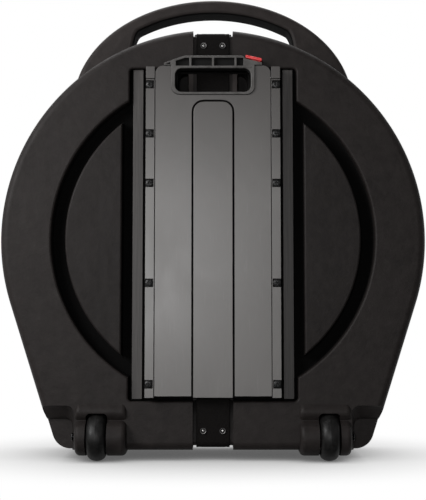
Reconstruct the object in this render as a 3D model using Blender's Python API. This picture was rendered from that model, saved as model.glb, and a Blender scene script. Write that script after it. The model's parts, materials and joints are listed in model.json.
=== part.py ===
"""A wheeled, rotomoulded hard case for cymbals, standing upright on its two wheels.

Metres, +Z up. The back of the case, with the pull handle, faces -Y, and the front shell
opens towards +Y. The origin is on the floor, under the middle of the whole object.
"""

import math

import bmesh
import bpy
import numpy as np
from mathutils import Matrix, Vector

# Body outline
BODY_RADIUS = 0.345
BODY_CENTRE_Z = 0.357
FLANK_ANGLE = math.radians(17.85)
BASE_Z = 0.017
CORNER_RADIUS = 0.030
WALL = 0.005
ARC_STEPS = 40
CORNER_STEPS = 5

# Shell depths, measured from the seam between the two shells
BACK_DEPTH = 0.100
FRONT_DEPTH = 0.085
DOME_RISE = 0.010
EDGE_RADIUS = 0.014
EDGE_STEPS = 4
SEAM_GAP = 0.0006

# Round groove and the recess of the pull handle
GROOVE_LAND = 0.084
GROOVE_WIDTH = 0.0205
RECESS_DEPTH = 0.022
FRONT_GROOVE_DEPTH = 0.008
RECESS_BOTTOM = 0.095
RECESS_LAND = 0.064
RECESS_SIDE_ROOM = 0.0055
ISLAND_STEP = 0.0115
SCOOP_DEPTH = 0.015
SCOOP_INSET = 0.0038
SCOOP_RIDGE = 0.008
STEP_DEPTH = 0.030
STEP_FROM_POD = 0.004
STEP_TOP = 0.086

# Wheels and their pods
WHEEL_RADIUS = 0.038
WHEEL_WIDTH = 0.030
WHEEL_X = 0.1855
WHEEL_OVERHANG = 0.028
TYRE_SHOULDER = 0.010
HUB_RADIUS = 0.017
BEARING_RADIUS = 0.011
BEARING_WIDTH = 0.007
AXLE_RADIUS = 0.004
AXLE_HEAD = 0.0064
WELL_CLEARANCE = 0.004
WELL_SIDE = 0.002
POD_RADIUS = 0.0295
POD_INNER_WALL = 0.0305
POD_OUTER_WALL = 0.0175
POD_STEPS = 10
POD_START = math.radians(169)
FAIRING_TOP = 0.092
ROUND_STEPS = 24
TREAD_STEPS = 3
GROOVE_STEPS = 48
SMALL_STEPS = 16

# Carry arch of the front shell
ARCH_HALF = 0.2437
ARCH_CENTRE_DROP = 0.103
ARCH_RISE = 0.1846
ARCH_BAND = 0.0240
ARCH_DEPTH = 0.050
SLOT_HALF = 0.140
SLOT_SKIN = 0.0015
ARCH_EDGE = 0.006
ARCH_STEPS = 32
DOME_STEPS = 4
DOME_TURN = math.radians(82)

# Pull handle: tray, rails, sliding panel, fixed tongue
PANEL_HALF = 0.0931
PANEL_PLATE = 0.005
PANEL_WEB = 0.006
PANEL_TOP_DROP = 0.0021
PANEL_BOTTOM_RISE = 0.0061
SLIDE_ROOM = 0.0006
SHOULDER_RADIUS = 0.012
RUNNER_REACH = 0.006
RUNNER_HALF = 0.0025
RUNNER_DEPTH = 0.009
RUNNER_PLAY = 0.0005
RAIL_PLAY = 0.0012
RAIL_LIP = 0.001
RAIL_PROUD = 0.001
RAIL_TOP_DROP = 0.0003
RAIL_BOTTOM_RISE = 0.0037
TRAY_END_ROOM = 0.0035
TRAY_FOOT_ROOM = 0.0033
TRAY_PLATE = 0.003
TRAY_SKIN = 0.002
FLANGE_FROM_RAIL = 0.0042
FLANGE_WIDTH = 0.0165
FLANGE_HEIGHT = 0.014
TONGUE_HALF = 0.0315
TONGUE_TOP_DROP = 0.0114
TONGUE_WALL = 0.004
TONGUE_ROUND = 0.016
LEG_GAP = 0.003
SCREW_LOW_RISE = 0.0213
SCREW_TOP_DROP = 0.0292
SCREW_PLACES = (0, 2, 4, 5, 6)
SCREW_HEAD = 0.006
SCREW_CROWN = 0.0042
SCREW_HEAD_HEIGHT = 0.003
SCREW_CROWN_HEIGHT = 0.0018
SCREW_SHANK = 0.0025
SCREW_POCKET = 0.0135

# Grip, its heights measured down from its top
GRIP_FROM_RECESS = 0.0138
GRIP_HEIGHT = 0.0635
GRIP_TIP_DROP = 0.0119
GRIP_FLAT_HALF = 0.0457
GRIP_PROUD = 0.003
GRIP_LIP = 0.0062
HOLE_LOW_LIP = 0.004
HOLE_TOP_DROP = 0.0208
HOLE_ROUND = 0.012
RIB_PITCH = 0.0365
RIB_WIDTH = 0.0035
CELL_LEFT_LIP = 0.0004
CELL_RIGHT_LIP = 0.0121
CELL_TOP_DROP = 0.005
CELL_HEIGHT = 0.0116
CELL_DEPTH = 0.006

# Grip, lever and lock bolt, measured inwards from the edge of the panel
GRIP_TIP_IN = 0.0137
GRIP_SIDE_IN = 0.0256
LEVER_LEFT_IN = 0.0405
LEVER_PIVOT_IN = 0.0316
LEVER_ARM_IN = 0.0204
BOSS_IN = 0.0158
COLLAR_IN = 0.0084
LEVER_THICK = 0.006
LEVER_DEPTH = 0.010
LEVER_DROP = 0.0033
LEVER_HUB = 0.0035
LEVER_STEM = 0.0021
LEVER_ARM = 0.004
LEVER_ARM_DEPTH = 0.0074
LEVER_PIVOT_DROP = 0.0124
PIN_RADIUS = 0.0015
BOLT_DROP = 0.0203
BOLT_RADIUS = 0.002
BOLT_HEAD = 0.0032
BOLT_ENTRY = 0.0018
BOSS_WIDTH = 0.0016
SPRING_RADIUS = 0.0033
SPRING_WIRE = 0.0004
SPRING_TURNS = 3
SPRING_STEPS = 10

# Straps, rivets and buckle
STRAP_HALF = 0.027
STRAP_THICK = 0.0025
STRAP_GROOVE_HALF = 0.0325
STRAP_GROOVE = 0.0085
STRAP_GROOVE_BASE = 0.006
STRAP_GROOVE_FLOOR = 0.003
STRAP_FRONT_REACH = 0.060
RIVET_HEAD = 0.005
RIVET_CROWN = 0.003
RIVET_SHANK = 0.002
RIVET_HEIGHT = 0.0018
RIVET_RIM = 0.0007
RIVET_X = 0.0155
RIVET_TOP_DROP = 0.028
RIVET_LOW_RISE = 0.031
BUCKLE_HALF = 0.031
BUCKLE_LENGTH = 0.046
BUCKLE_HEIGHT = 0.0098
BUCKLE_WALL = 0.0024
BUCKLE_FROM_SEAM = 0.004
PRONG_HALF = 0.020
PRONG_THICK = 0.0024
PRONG_REACH = 0.026
PRONG_PLAY = 0.0015
SHANK_LENGTH = 0.012
SLIDER_HALF = 0.012
SLIDER_LENGTH = 0.016
SLIDER_HEIGHT = 0.0026
SLIDER_STEM = 0.004
SLIDER_TRAVEL = 0.008

# Post for the cymbals and the soft lining
POST_RADIUS = 0.006
POST_LENGTH = 0.110
FLANGE_RADIUS = 0.055
FLANGE_THICK = 0.004
FELT_RADIUS = 0.024
FELT_THICK = 0.008
CLAMP_RADIUS = 0.045
CLAMP_THICK = 0.005
NUT_RADIUS = 0.011
NUT_TOP_RADIUS = 0.009
NUT_HEIGHT = 0.014
WING_RISE = 0.004
WING_TOP = 0.020
WING_REACH = 0.030
WING_THICK = 0.004
FOAM_BACK_MARGIN = 0.0105
FOAM_FRONT_MARGIN = 0.105
FOAM_THICK = 0.016
FOAM_HOLE_MARGIN = 0.007

# Front feet
FOOT_RADIUS = 0.019
FOOT_X = 0.185
FOOT_FROM_SEAM = 0.052
FOOT_BOLT_HEAD = 0.0055
FOOT_BOLT_SINK = 0.006
FOOT_BOLT_SHANK = 0.0025

GAP = 0.0003
THROUGH = 0.020

# Places worked out from the sizes
REAR_REACH = BACK_DEPTH + WHEEL_OVERHANG
FRONT_REACH = FRONT_DEPTH + DOME_RISE
SEAM_Y = (REAR_REACH - FRONT_REACH) / 2
AXLE_Y = SEAM_Y - REAR_REACH + WHEEL_RADIUS
FLOOR_Y = SEAM_Y - BACK_DEPTH + RECESS_DEPTH
BACK_Y = SEAM_Y - BACK_DEPTH
WEB_BACK = BACK_Y - SLIDE_ROOM
PLATE_BACK = WEB_BACK - RUNNER_DEPTH
PANEL_FACE = PLATE_BACK - PANEL_PLATE
RUNNER_Y = PLATE_BACK + LEVER_ARM_DEPTH / 2 + GAP
TRAY_BACK = FLOOR_Y - GAP
TRAY_FACE = TRAY_BACK - TRAY_PLATE
RAIL_FACE = PANEL_FACE - RAIL_PROUD
GRIP_FACE = PANEL_FACE - GRIP_PROUD
TOP_Z = BODY_CENTRE_Z + BODY_RADIUS

# Widths across the handle, from the panel outwards to the islands
RAIL_INNER = PANEL_HALF + RAIL_PLAY
RAIL_OUTER = RAIL_INNER + SCREW_POCKET + 2 * RAIL_LIP
FLANGE_INNER = RAIL_OUTER + FLANGE_FROM_RAIL
TRAY_HALF = FLANGE_INNER + FLANGE_WIDTH
RECESS_HALF = TRAY_HALF + RECESS_SIDE_ROOM
ISLAND_EDGE = RECESS_HALF + ISLAND_STEP
GROOVE_FLOOR = PANEL_HALF + RUNNER_REACH + RUNNER_PLAY + GAP
GROOVE_OUTER = BODY_RADIUS - GROOVE_LAND
GROOVE_INNER = GROOVE_OUTER - GROOVE_WIDTH

# Widths across the grip, from the edge of the panel inwards
GRIP_TIP_X = PANEL_HALF - GRIP_TIP_IN
GRIP_HALF = PANEL_HALF - GRIP_SIDE_IN
HOLE_HALF = GRIP_HALF - GRIP_LIP
SCOOP_HALF = HOLE_HALF - SCOOP_INSET
SCOOP_INNER = STRAP_GROOVE_HALF + SCOOP_RIDGE
LEVER_LEFT = PANEL_HALF - LEVER_LEFT_IN
LEVER_PIVOT_X = PANEL_HALF - LEVER_PIVOT_IN
LEVER_ARM_X = PANEL_HALF - LEVER_ARM_IN
BOSS_X = PANEL_HALF - BOSS_IN
COLLAR_X = PANEL_HALF - COLLAR_IN

# Heights, down from the top of the body or up from the recess
RECESS_TOP = TOP_Z - RECESS_LAND
TRAY_TOP = RECESS_TOP - TRAY_END_ROOM
TRAY_BOTTOM = RECESS_BOTTOM + TRAY_FOOT_ROOM
RAIL_TOP = TRAY_TOP - RAIL_TOP_DROP
RAIL_BOTTOM = TRAY_BOTTOM + RAIL_BOTTOM_RISE
SCREW_LOW_Z = RAIL_BOTTOM + SCREW_LOW_RISE
SCREW_PITCH = (RAIL_TOP - SCREW_TOP_DROP - SCREW_LOW_Z) / max(SCREW_PLACES)
GRIP_TOP = RECESS_TOP + GRIP_FROM_RECESS
GRIP_TIP_Z = GRIP_TOP - GRIP_TIP_DROP
GRIP_BOTTOM = GRIP_TOP - GRIP_HEIGHT
HOLE_BOTTOM = GRIP_BOTTOM + HOLE_LOW_LIP
HOLE_TOP = GRIP_TOP - HOLE_TOP_DROP
PANEL_TOP = RECESS_TOP - PANEL_TOP_DROP
PANEL_BOTTOM = TRAY_BOTTOM + PANEL_BOTTOM_RISE
TONGUE_TOP = GRIP_BOTTOM - TONGUE_TOP_DROP
LEVER_PIVOT_Z = GRIP_TOP - LEVER_PIVOT_DROP
BOLT_Z = LEVER_PIVOT_Z - BOLT_DROP
RIVET_TOP_Z = TOP_Z - RIVET_TOP_DROP
RIVET_LOW_Z = BASE_Z + RIVET_LOW_RISE
ARCH_CENTRE_Z = TOP_Z - ARCH_CENTRE_DROP

# Places beside the wheels, and the lining
POD_INNER_X = WHEEL_X - WHEEL_WIDTH / 2 - WELL_SIDE - POD_INNER_WALL
POD_OUTER_X = WHEEL_X + WHEEL_WIDTH / 2 + WELL_SIDE + POD_OUTER_WALL
STEP_X = POD_OUTER_X + STEP_FROM_POD
FOAM_BACK_RADIUS = GROOVE_INNER - FOAM_BACK_MARGIN
FOAM_FRONT_RADIUS = BODY_RADIUS - FOAM_FRONT_MARGIN
FOAM_HOLE = FLANGE_RADIUS + FOAM_HOLE_MARGIN


# Helpers
def clear_scene():
    for old in list(bpy.data.objects):
        bpy.data.objects.remove(old, do_unlink=True)


def material(name, colour, roughness, metallic=0.0):
    found = bpy.data.materials.get(name)
    if found:
        return found
    made = bpy.data.materials.new(name)
    made.use_nodes = True
    shader = made.node_tree.nodes["Principled BSDF"]
    shader.inputs["Base Color"].default_value = (*colour, 1.0)
    shader.inputs["Roughness"].default_value = roughness
    shader.inputs["Metallic"].default_value = metallic
    return made


def shell_plastic():
    return material("shell_plastic", (0.028, 0.025, 0.024), 0.55)


def handle_plastic():
    return material("handle_plastic", (0.16, 0.15, 0.145), 0.42)


def black_plastic():
    return material("black_plastic", (0.02, 0.02, 0.02), 0.45)


def red_plastic():
    return material("red_plastic", (0.55, 0.03, 0.03), 0.4)


def webbing():
    return material("webbing", (0.012, 0.012, 0.013), 0.8)


def tyre_rubber():
    return material("tyre_rubber", (0.018, 0.018, 0.018), 0.7)


def steel():
    return material("steel", (0.55, 0.55, 0.56), 0.3, 1.0)


def black_steel():
    return material("black_steel", (0.05, 0.05, 0.05), 0.4, 1.0)


def felt():
    return material("felt", (0.08, 0.08, 0.085), 0.95)


def foam():
    return material("foam", (0.05, 0.05, 0.052), 0.9)


def add(name, points, faces, finish, smooth=False):
    """One mesh object at the origin, with its faces turned outwards."""
    mesh = bpy.data.meshes.new(name)
    mesh.from_pydata([tuple(p) for p in points], [], [tuple(f) for f in faces])
    work = bmesh.new()
    work.from_mesh(mesh)
    bmesh.ops.recalc_face_normals(work, faces=work.faces)
    work.to_mesh(mesh)
    work.free()
    if smooth:
        mesh.shade_smooth()
        mesh.set_sharp_from_angle(angle=math.radians(35))
    piece = bpy.data.objects.new(name, mesh)
    bpy.context.scene.collection.objects.link(piece)
    if finish:
        mesh.materials.append(finish)
    return piece


def stack(name, rings, finish, smooth=False):
    """A closed solid through rings of equal count, with flat caps."""
    count = len(rings[0])
    points = [p for ring in rings for p in ring]
    faces = [tuple(range(count)), tuple((len(rings) - 1) * count + i for i in range(count))]
    for level in range(len(rings) - 1):
        for i in range(count):
            j = (i + 1) % count
            low = level * count
            high = low + count
            faces.append((low + i, low + j, high + j, high + i))
    return add(name, points, faces, finish, smooth)


def plate(name, outline, y_from, y_to, finish=None, smooth=False):
    """An outline of (x, z) points extruded along Y."""
    rings = [[(x, y, z) for x, z in outline] for y in (y_from, y_to)]
    return stack(name, rings, finish, smooth)


def section(name, outline, x_from, x_to, finish=None, smooth=False):
    """An outline of (y, z) points extruded along X."""
    rings = [[(x, y, z) for y, z in outline] for x in (x_from, x_to)]
    return stack(name, rings, finish, smooth)


def upright(name, outline, z_from, z_to, finish=None):
    """An outline of (x, y) points extruded along Z."""
    rings = [[(x, y, z) for x, y in outline] for z in (z_from, z_to)]
    return stack(name, rings, finish)


def block(name, low, high, finish=None):
    outline = [(low[0], low[2]), (high[0], low[2]), (high[0], high[2]), (low[0], high[2])]
    return plate(name, outline, low[1], high[1], finish)


def arc(centre, radius, start, end, steps):
    """Points on a round arc, angles in radians."""
    turns = np.linspace(start, end, steps + 1)
    return [(centre[0] + radius * math.cos(t), centre[1] + radius * math.sin(t)) for t in turns]


def circle(centre, radius, steps=SMALL_STEPS):
    return arc(centre, radius, 0, 2 * math.pi, steps)[:-1]


def disc(name, centre, radius, y_from, y_to, finish=None, steps=SMALL_STEPS):
    """A round plate with its axis along Y, its centre given as (x, z)."""
    return plate(name, circle(centre, radius, steps), y_from, y_to, finish, True)


def rod(name, centre, radius, x_from, x_to, finish=None, steps=SMALL_STEPS):
    """A round bar with its axis along X, its centre given as (y, z)."""
    return section(name, circle(centre, radius, steps), x_from, x_to, finish, True)


def rounded(low, high, radius, steps=CORNER_STEPS):
    """A rectangle of (a, b) points with round corners."""
    corners = (
        (high[0] - radius, low[1] + radius, -90),
        (high[0] - radius, high[1] - radius, 0),
        (low[0] + radius, high[1] - radius, 90),
        (low[0] + radius, low[1] + radius, 180),
    )
    outline = []
    for a, b, start in corners:
        outline += arc((a, b), radius, math.radians(start), math.radians(start + 90), steps)
    return outline


def turned(name, profile, centre, finish, axis="Y", steps=SMALL_STEPS):
    """A closed (radius, distance) profile turned about an axis along Y or X."""
    points = []
    count = len(profile)
    for k in range(steps):
        turn = 2 * math.pi * k / steps
        for radius, along in profile:
            a = radius * math.cos(turn)
            b = radius * math.sin(turn)
            if axis == "Y":
                points.append((centre[0] + a, along, centre[1] + b))
            else:
                points.append((along, centre[0] + a, centre[1] + b))
    faces = []
    for k in range(steps):
        low = k * count
        high = ((k + 1) % steps) * count
        for i in range(count):
            j = (i + 1) % count
            faces.append((low + i, low + j, high + j, high + i))
    return add(name, points, faces, finish, True)


def hide(cutter):
    cutter.hide_render = True
    cutter.display_type = "WIRE"


def combine(piece, other, operation):
    step = piece.modifiers.new(other.name, "BOOLEAN")
    step.operation = operation
    step.solver = "EXACT"
    step.object = other
    hide(other)


def cut(piece, *cutters):
    for cutter in cutters:
        combine(piece, cutter, "DIFFERENCE")


def join(piece, *others):
    for other in others:
        combine(piece, other, "UNION")


def carry_on(piece, place):
    """Moves the object's origin to a place on its joint's axis, with the mesh kept where it is."""
    piece.data.transform(Matrix.Translation(-Vector(place)))
    piece.location = place


def mirrored(low, high, side):
    """The x range of a piece on the left (-1) or the right (1)."""
    return sorted((side * low, side * high))


# Shells
def case_outline(inset=0.0):
    """Points (x, z) round the body: a circle, two straight flanks and a flat base."""
    slope = FLANK_ANGLE
    reach = BODY_RADIUS - BODY_CENTRE_Z * math.sin(slope)
    corner_z = BASE_Z + CORNER_RADIUS
    corner_x = (reach - CORNER_RADIUS + corner_z * math.sin(slope)) / math.cos(slope)
    small = CORNER_RADIUS - inset
    quarter = math.pi / 2
    top = arc((0, BODY_CENTRE_Z), BODY_RADIUS - inset, -slope, math.pi + slope, ARC_STEPS)
    left = arc((-corner_x, corner_z), small, math.pi + slope, 3 * quarter, CORNER_STEPS)
    right = arc((corner_x, corner_z), small, -quarter, -slope, CORNER_STEPS)
    return top + left + right


def shell_body(name, outward, depth, inset, start, finish=None):
    """One half of the case as a solid, from the seam to its face, with a round outer edge."""
    edge = EDGE_RADIUS - inset
    levels = [(start, inset)]
    for k in range(EDGE_STEPS + 1):
        turn = k / EDGE_STEPS * math.pi / 2
        levels.append((depth - inset - edge * (1 - math.sin(turn)), inset + edge * (1 - math.cos(turn))))
    rings = []
    for along, inward in levels:
        y = SEAM_Y + outward * along
        rings.append([(x, y, z) for x, z in case_outline(inward)])
    return stack(name, rings, finish, True)


def ring_cutter(name, inner, outer, y_from, y_to, steps=GROOVE_STEPS):
    profile = [(inner, y_from), (outer, y_from), (outer, y_to), (inner, y_to)]
    return turned(name, profile, (0, BODY_CENTRE_Z), None, "Y", steps)


def recess_blocks(name, grow, y_from, y_to):
    """The tray recess, its wide part between the two islands, and the round groove."""
    half = RECESS_HALF + grow
    wide = ISLAND_EDGE + grow
    reach = math.sqrt(GROOVE_INNER**2 - ISLAND_EDGE**2) + (GROOVE_OUTER - GROOVE_INNER) / 2
    tall = block(name + "_tall", (-half, y_from, RECESS_BOTTOM - grow), (half, y_to, RECESS_TOP + grow))
    middle = block(
        name + "_middle",
        (-wide, y_from, BODY_CENTRE_Z - reach),
        (wide, y_to, BODY_CENTRE_Z + reach),
    )
    ring = ring_cutter(name + "_ring", GROOVE_INNER - grow, GROOVE_OUTER + grow, y_from, y_to)
    return tall, middle, ring


def wheel_well(name, side, grow):
    low, high = mirrored(
        WHEEL_X - WHEEL_WIDTH / 2 - WELL_SIDE - grow,
        WHEEL_X + WHEEL_WIDTH / 2 + WELL_SIDE + grow,
        side,
    )
    radius = WHEEL_RADIUS + WELL_CLEARANCE + grow
    return rod(name, (AXLE_Y, WHEEL_RADIUS), radius, low, high, None, ROUND_STEPS)


def pod(name, side, grow=0.0):
    """The moulded barrel round an axle, with its ramp up to the face of the shell."""
    low, high = mirrored(POD_INNER_X - grow, POD_OUTER_X + grow, side)
    turns = arc((AXLE_Y, WHEEL_RADIUS), POD_RADIUS, POD_START, math.pi * 3 / 2, POD_STEPS)
    inner_y = BACK_Y + EDGE_RADIUS + WALL
    outline = [(BACK_Y - SEAM_GAP, FAIRING_TOP), *turns, (inner_y, WHEEL_RADIUS - POD_RADIUS)]
    outline += [(inner_y, FAIRING_TOP)]
    return section(name, outline, low, high)


def corner_step(name, side, grow):
    """The block that is left out of the lower corners, beside the pods."""
    low, high = mirrored(STEP_X - grow, BODY_RADIUS, side)
    return block(
        name,
        (low, BACK_Y - THROUGH, BASE_Z - THROUGH),
        (high, BACK_Y + STEP_DEPTH + grow, STEP_TOP + grow),
    )


def scoop(name, side, grow):
    """The deep pocket for the fingertips behind the grip, beside the strap."""
    low, high = mirrored(SCOOP_INNER - grow, SCOOP_HALF + grow, side)
    return block(
        name,
        (low, BACK_Y - THROUGH, HOLE_BOTTOM - grow),
        (high, FLOOR_Y + SCOOP_DEPTH + grow, HOLE_TOP + grow),
    )


def strap_seat(name, outward, depth, grow=0.0):
    """Cutters for the strap's groove: down the face from the top, and up it from the base."""
    half = STRAP_GROOVE_HALF + grow
    reach = STRAP_FRONT_REACH + grow
    groove = STRAP_GROOVE + grow
    edge = sorted((SEAM_Y - outward * THROUGH, SEAM_Y + outward * (depth + THROUGH)))
    upper_low = RIVET_TOP_Z - reach
    lower_high = RIVET_LOW_Z + reach
    upper = block(name + "_upper", (-half, edge[0], upper_low), (half, edge[1], TOP_Z + THROUGH))
    lower = block(name + "_lower", (-half, edge[0], BASE_Z - THROUGH), (half, edge[1], lower_high))
    core = shell_body(name + "_core", outward, depth, groove, -2 * THROUGH)
    flat_end = depth - EDGE_RADIUS - groove
    keep = sorted((SEAM_Y - outward * 2 * THROUGH, SEAM_Y + outward * flat_end))
    floor = block(
        name + "_floor",
        (-BODY_RADIUS, keep[0], BASE_Z + STRAP_GROOVE_BASE + grow),
        (BODY_RADIUS, keep[1], BASE_Z + 2 * groove),
    )
    cut(upper, core)
    cut(lower, core, floor)
    return upper, lower


def screw_heights():
    return [SCREW_LOW_Z + SCREW_PITCH * place for place in SCREW_PLACES]


def back_shell():
    shell = shell_body("back_shell", -1, BACK_DEPTH, 0.0, SEAM_GAP / 2, shell_plastic())
    cavity = shell_body("cut_back_cavity", -1, BACK_DEPTH, WALL, -THROUGH)
    outside = BACK_Y - THROUGH
    for name, target, grow in (("cut_back", shell, 0.0), ("cut_wall", cavity, WALL)):
        cut(target, *recess_blocks(name + "_recess", grow, outside, FLOOR_Y + grow))
        cut(target, *strap_seat(name + "_strap", -1, BACK_DEPTH, grow))
        for side, word in ((-1, "left"), (1, "right")):
            cut(target, scoop(f"{name}_scoop_{word}", side, grow))
            cut(target, corner_step(f"{name}_step_{word}", side, grow))
    for side, word in ((-1, "left"), (1, "right")):
        join(shell, pod("add_pod_" + word, side))
        cut(cavity, pod("cut_pod_room_" + word, side, WALL))
        cut(shell, wheel_well("cut_well_" + word, side, 0.0))
        cut(cavity, wheel_well("cut_well_wall_" + word, side, WALL))
    floor_groove = block(
        "cut_floor_groove",
        (-STRAP_GROOVE_HALF, outside, RECESS_BOTTOM),
        (STRAP_GROOVE_HALF, FLOOR_Y + STRAP_GROOVE_FLOOR, RECESS_TOP),
    )
    cut(shell, floor_groove, cavity)
    for side, word in ((-1, "left"), (1, "right")):
        low, high = mirrored(POD_INNER_X + WALL - GAP, STEP_X + WALL, side)
        bore = rod("cut_axle_" + word, (AXLE_Y, WHEEL_RADIUS), AXLE_RADIUS + GAP, low, high)
        cut(shell, bore)
        for number, z in enumerate(screw_heights(), 1):
            place = (side * (RAIL_INNER + RAIL_OUTER) / 2, z)
            hole = disc(
                f"cut_screw_{word}_{number}",
                place,
                SCREW_SHANK + GAP,
                FLOOR_Y - THROUGH,
                FLOOR_Y + THROUGH,
                steps=8,
            )
            cut(shell, hole)
    cut_rivet_holes(shell, "cut_back_rivet", -1, BACK_DEPTH)


def rivet_places():
    return [(side * RIVET_X, z) for z in (RIVET_TOP_Z, RIVET_LOW_Z) for side in (-1, 1)]


def cut_rivet_holes(piece, name, outward, depth, heights=(RIVET_TOP_Z, RIVET_LOW_Z)):
    inside = SEAM_Y + outward * (depth - STRAP_GROOVE - 2 * WALL - RIVET_HEIGHT)
    y_from, y_to = sorted((inside, SEAM_Y + outward * (depth + THROUGH)))
    for number, place in enumerate(rivet_places(), 1):
        if place[1] in heights:
            hole = disc(f"{name}_{number}", place, RIVET_SHANK + GAP, y_from, y_to, steps=8)
            cut(piece, hole)


def arch_outline(inset):
    """Points (x, z) round the carry arch: a half ellipse on a flat foot inside the shell."""
    half = ARCH_HALF - inset
    rise = ARCH_RISE - inset
    foot = ARCH_CENTRE_Z - ARCH_BAND
    turns = np.linspace(0, math.pi, ARCH_STEPS + 1)
    top = [(half * math.cos(t), ARCH_CENTRE_Z + rise * math.sin(t)) for t in turns]
    return [(half, foot), *top, (-half, foot)]


def slot_outline():
    """Points (x, z) of the hand slot between the carry arch and the shell."""
    half = ARCH_HALF - ARCH_BAND
    rise = ARCH_RISE - ARCH_BAND
    end = math.acos(SLOT_HALF / half)
    turns = np.linspace(end, math.pi - end, ARCH_STEPS // 2 + 1)
    top = [(half * math.cos(t), ARCH_CENTRE_Z + rise * math.sin(t)) for t in turns]
    low_radius = BODY_RADIUS + SLOT_SKIN
    low_end = math.acos(SLOT_HALF / low_radius)
    low = arc((0, BODY_CENTRE_Z), low_radius, math.pi - low_end, low_end, ARCH_STEPS // 4)
    return top + low


def front_shell():
    shell = shell_body("front_shell", 1, FRONT_DEPTH, 0.0, SEAM_GAP / 2, shell_plastic())
    levels = ((SEAM_GAP / 2, ARCH_EDGE), (ARCH_EDGE, 0), (ARCH_DEPTH - ARCH_EDGE, 0), (ARCH_DEPTH, ARCH_EDGE))
    rings = []
    for along, inset in levels:
        rings.append([(x, SEAM_Y + along, z) for x, z in arch_outline(inset)])
    arch = stack("add_arch", rings, None, True)
    slot = plate("cut_slot", slot_outline(), SEAM_Y - THROUGH, SEAM_Y + ARCH_DEPTH + THROUGH)
    face = SEAM_Y + FRONT_DEPTH
    groove = ring_cutter(
        "cut_front_groove",
        GROOVE_INNER,
        GROOVE_OUTER,
        face - FRONT_GROOVE_DEPTH,
        face + THROUGH,
    )
    centre = (0, BODY_CENTRE_Z)
    dome_rings = []
    for k in range(DOME_STEPS + 1):
        turn = k / DOME_STEPS * DOME_TURN
        radius = (GROOVE_INNER - WALL) * math.cos(turn)
        y = face + DOME_RISE * math.sin(turn) / math.sin(DOME_TURN)
        dome_rings.append([(x, y, z) for x, z in circle(centre, radius, ARC_STEPS)])
    first = [(x, face - WALL / 2, z) for x, _, z in dome_rings[0]]
    dome = stack("add_dome", [first, *dome_rings], None, True)
    cavity = shell_body("cut_front_cavity", 1, FRONT_DEPTH, WALL, -THROUGH)
    inner_groove = ring_cutter(
        "cut_front_groove_wall",
        GROOVE_INNER - WALL,
        GROOVE_OUTER + WALL,
        face - FRONT_GROOVE_DEPTH - WALL,
        face + THROUGH,
    )
    cut(cavity, inner_groove, *strap_seat("cut_front_wall", 1, FRONT_DEPTH, WALL))
    join(shell, arch)
    cut(shell, slot, groove)
    join(shell, dome)
    cut(shell, *strap_seat("cut_front_strap", 1, FRONT_DEPTH), cavity)
    cut_rivet_holes(shell, "cut_front_rivet", 1, FRONT_DEPTH)
    for side, word in ((-1, "left"), (1, "right")):
        hole = circle(foot_place(side), FOOT_BOLT_SHANK + GAP, 8)
        cut(shell, upright("cut_foot_hole_" + word, hole, BASE_Z - THROUGH, BASE_Z + THROUGH))


# Pull handle
def screw_place(side, z):
    return side * (RAIL_INNER + RAIL_OUTER) / 2, z


def screw_holes(name, side, y_from, y_to):
    holes = []
    for number, z in enumerate(screw_heights(), 1):
        holes.append(disc(f"{name}_{number}", screw_place(side, z), SCREW_SHANK + GAP, y_from, y_to, steps=8))
    return holes


def handle_tray():
    skin = TRAY_SKIN
    top = TRAY_BACK - FLANGE_HEIGHT
    half = [
        (FLANGE_INNER + skin, TRAY_BACK),
        (FLANGE_INNER + skin, top + skin),
        (TRAY_HALF - skin, top + skin),
        (TRAY_HALF - skin, TRAY_BACK),
        (TRAY_HALF, TRAY_BACK),
        (TRAY_HALF, top),
        (FLANGE_INNER, top),
        (FLANGE_INNER, TRAY_FACE),
    ]
    outline = half + [(-x, y) for x, y in reversed(half)]
    tray = upright("handle_tray", outline, TRAY_BOTTOM, TRAY_TOP, handle_plastic())
    window = block(
        "cut_tray_window",
        (-SCOOP_HALF, TRAY_FACE - THROUGH, HOLE_BOTTOM),
        (SCOOP_HALF, TRAY_BACK + THROUGH, HOLE_TOP),
    )
    cut(tray, window)
    for side, word in ((-1, "left"), (1, "right")):
        cut(tray, *screw_holes("cut_tray_screw_" + word, side, TRAY_FACE - THROUGH, TRAY_BACK + THROUGH))


def rail(side, word):
    groove = RUNNER_HALF + RUNNER_PLAY
    outline = [
        (side * RAIL_INNER, TRAY_FACE - GAP),
        (side * RAIL_OUTER, TRAY_FACE - GAP),
        (side * RAIL_OUTER, RAIL_FACE),
        (side * RAIL_INNER, RAIL_FACE),
        (side * RAIL_INNER, RUNNER_Y - groove),
        (side * GROOVE_FLOOR, RUNNER_Y - groove),
        (side * GROOVE_FLOOR, RUNNER_Y + groove),
        (side * RAIL_INNER, RUNNER_Y + groove),
    ]
    bar = upright("rail_" + word, outline, RAIL_BOTTOM, RAIL_TOP, handle_plastic())
    half = SCREW_POCKET / 2
    floor = RAIL_FACE + SCREW_HEAD_HEIGHT + GAP
    for number, z in enumerate(screw_heights(), 1):
        x = screw_place(side, z)[0]
        pocket = block(
            f"cut_pocket_{word}_{number}",
            (x - half, RAIL_FACE - THROUGH, z - half),
            (x + half, floor, z + half),
        )
        cut(bar, pocket)
    cut(bar, *screw_holes("cut_rail_screw_" + word, side, RAIL_FACE, TRAY_FACE + THROUGH))
    if side > 0:
        low = GROOVE_FLOOR - GAP * 3
        high = low + 2 * BOLT_ENTRY
        cut(bar, rod("cut_keeper", (RUNNER_Y, BOLT_Z), BOLT_RADIUS + GAP, low, high, steps=12))


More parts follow.
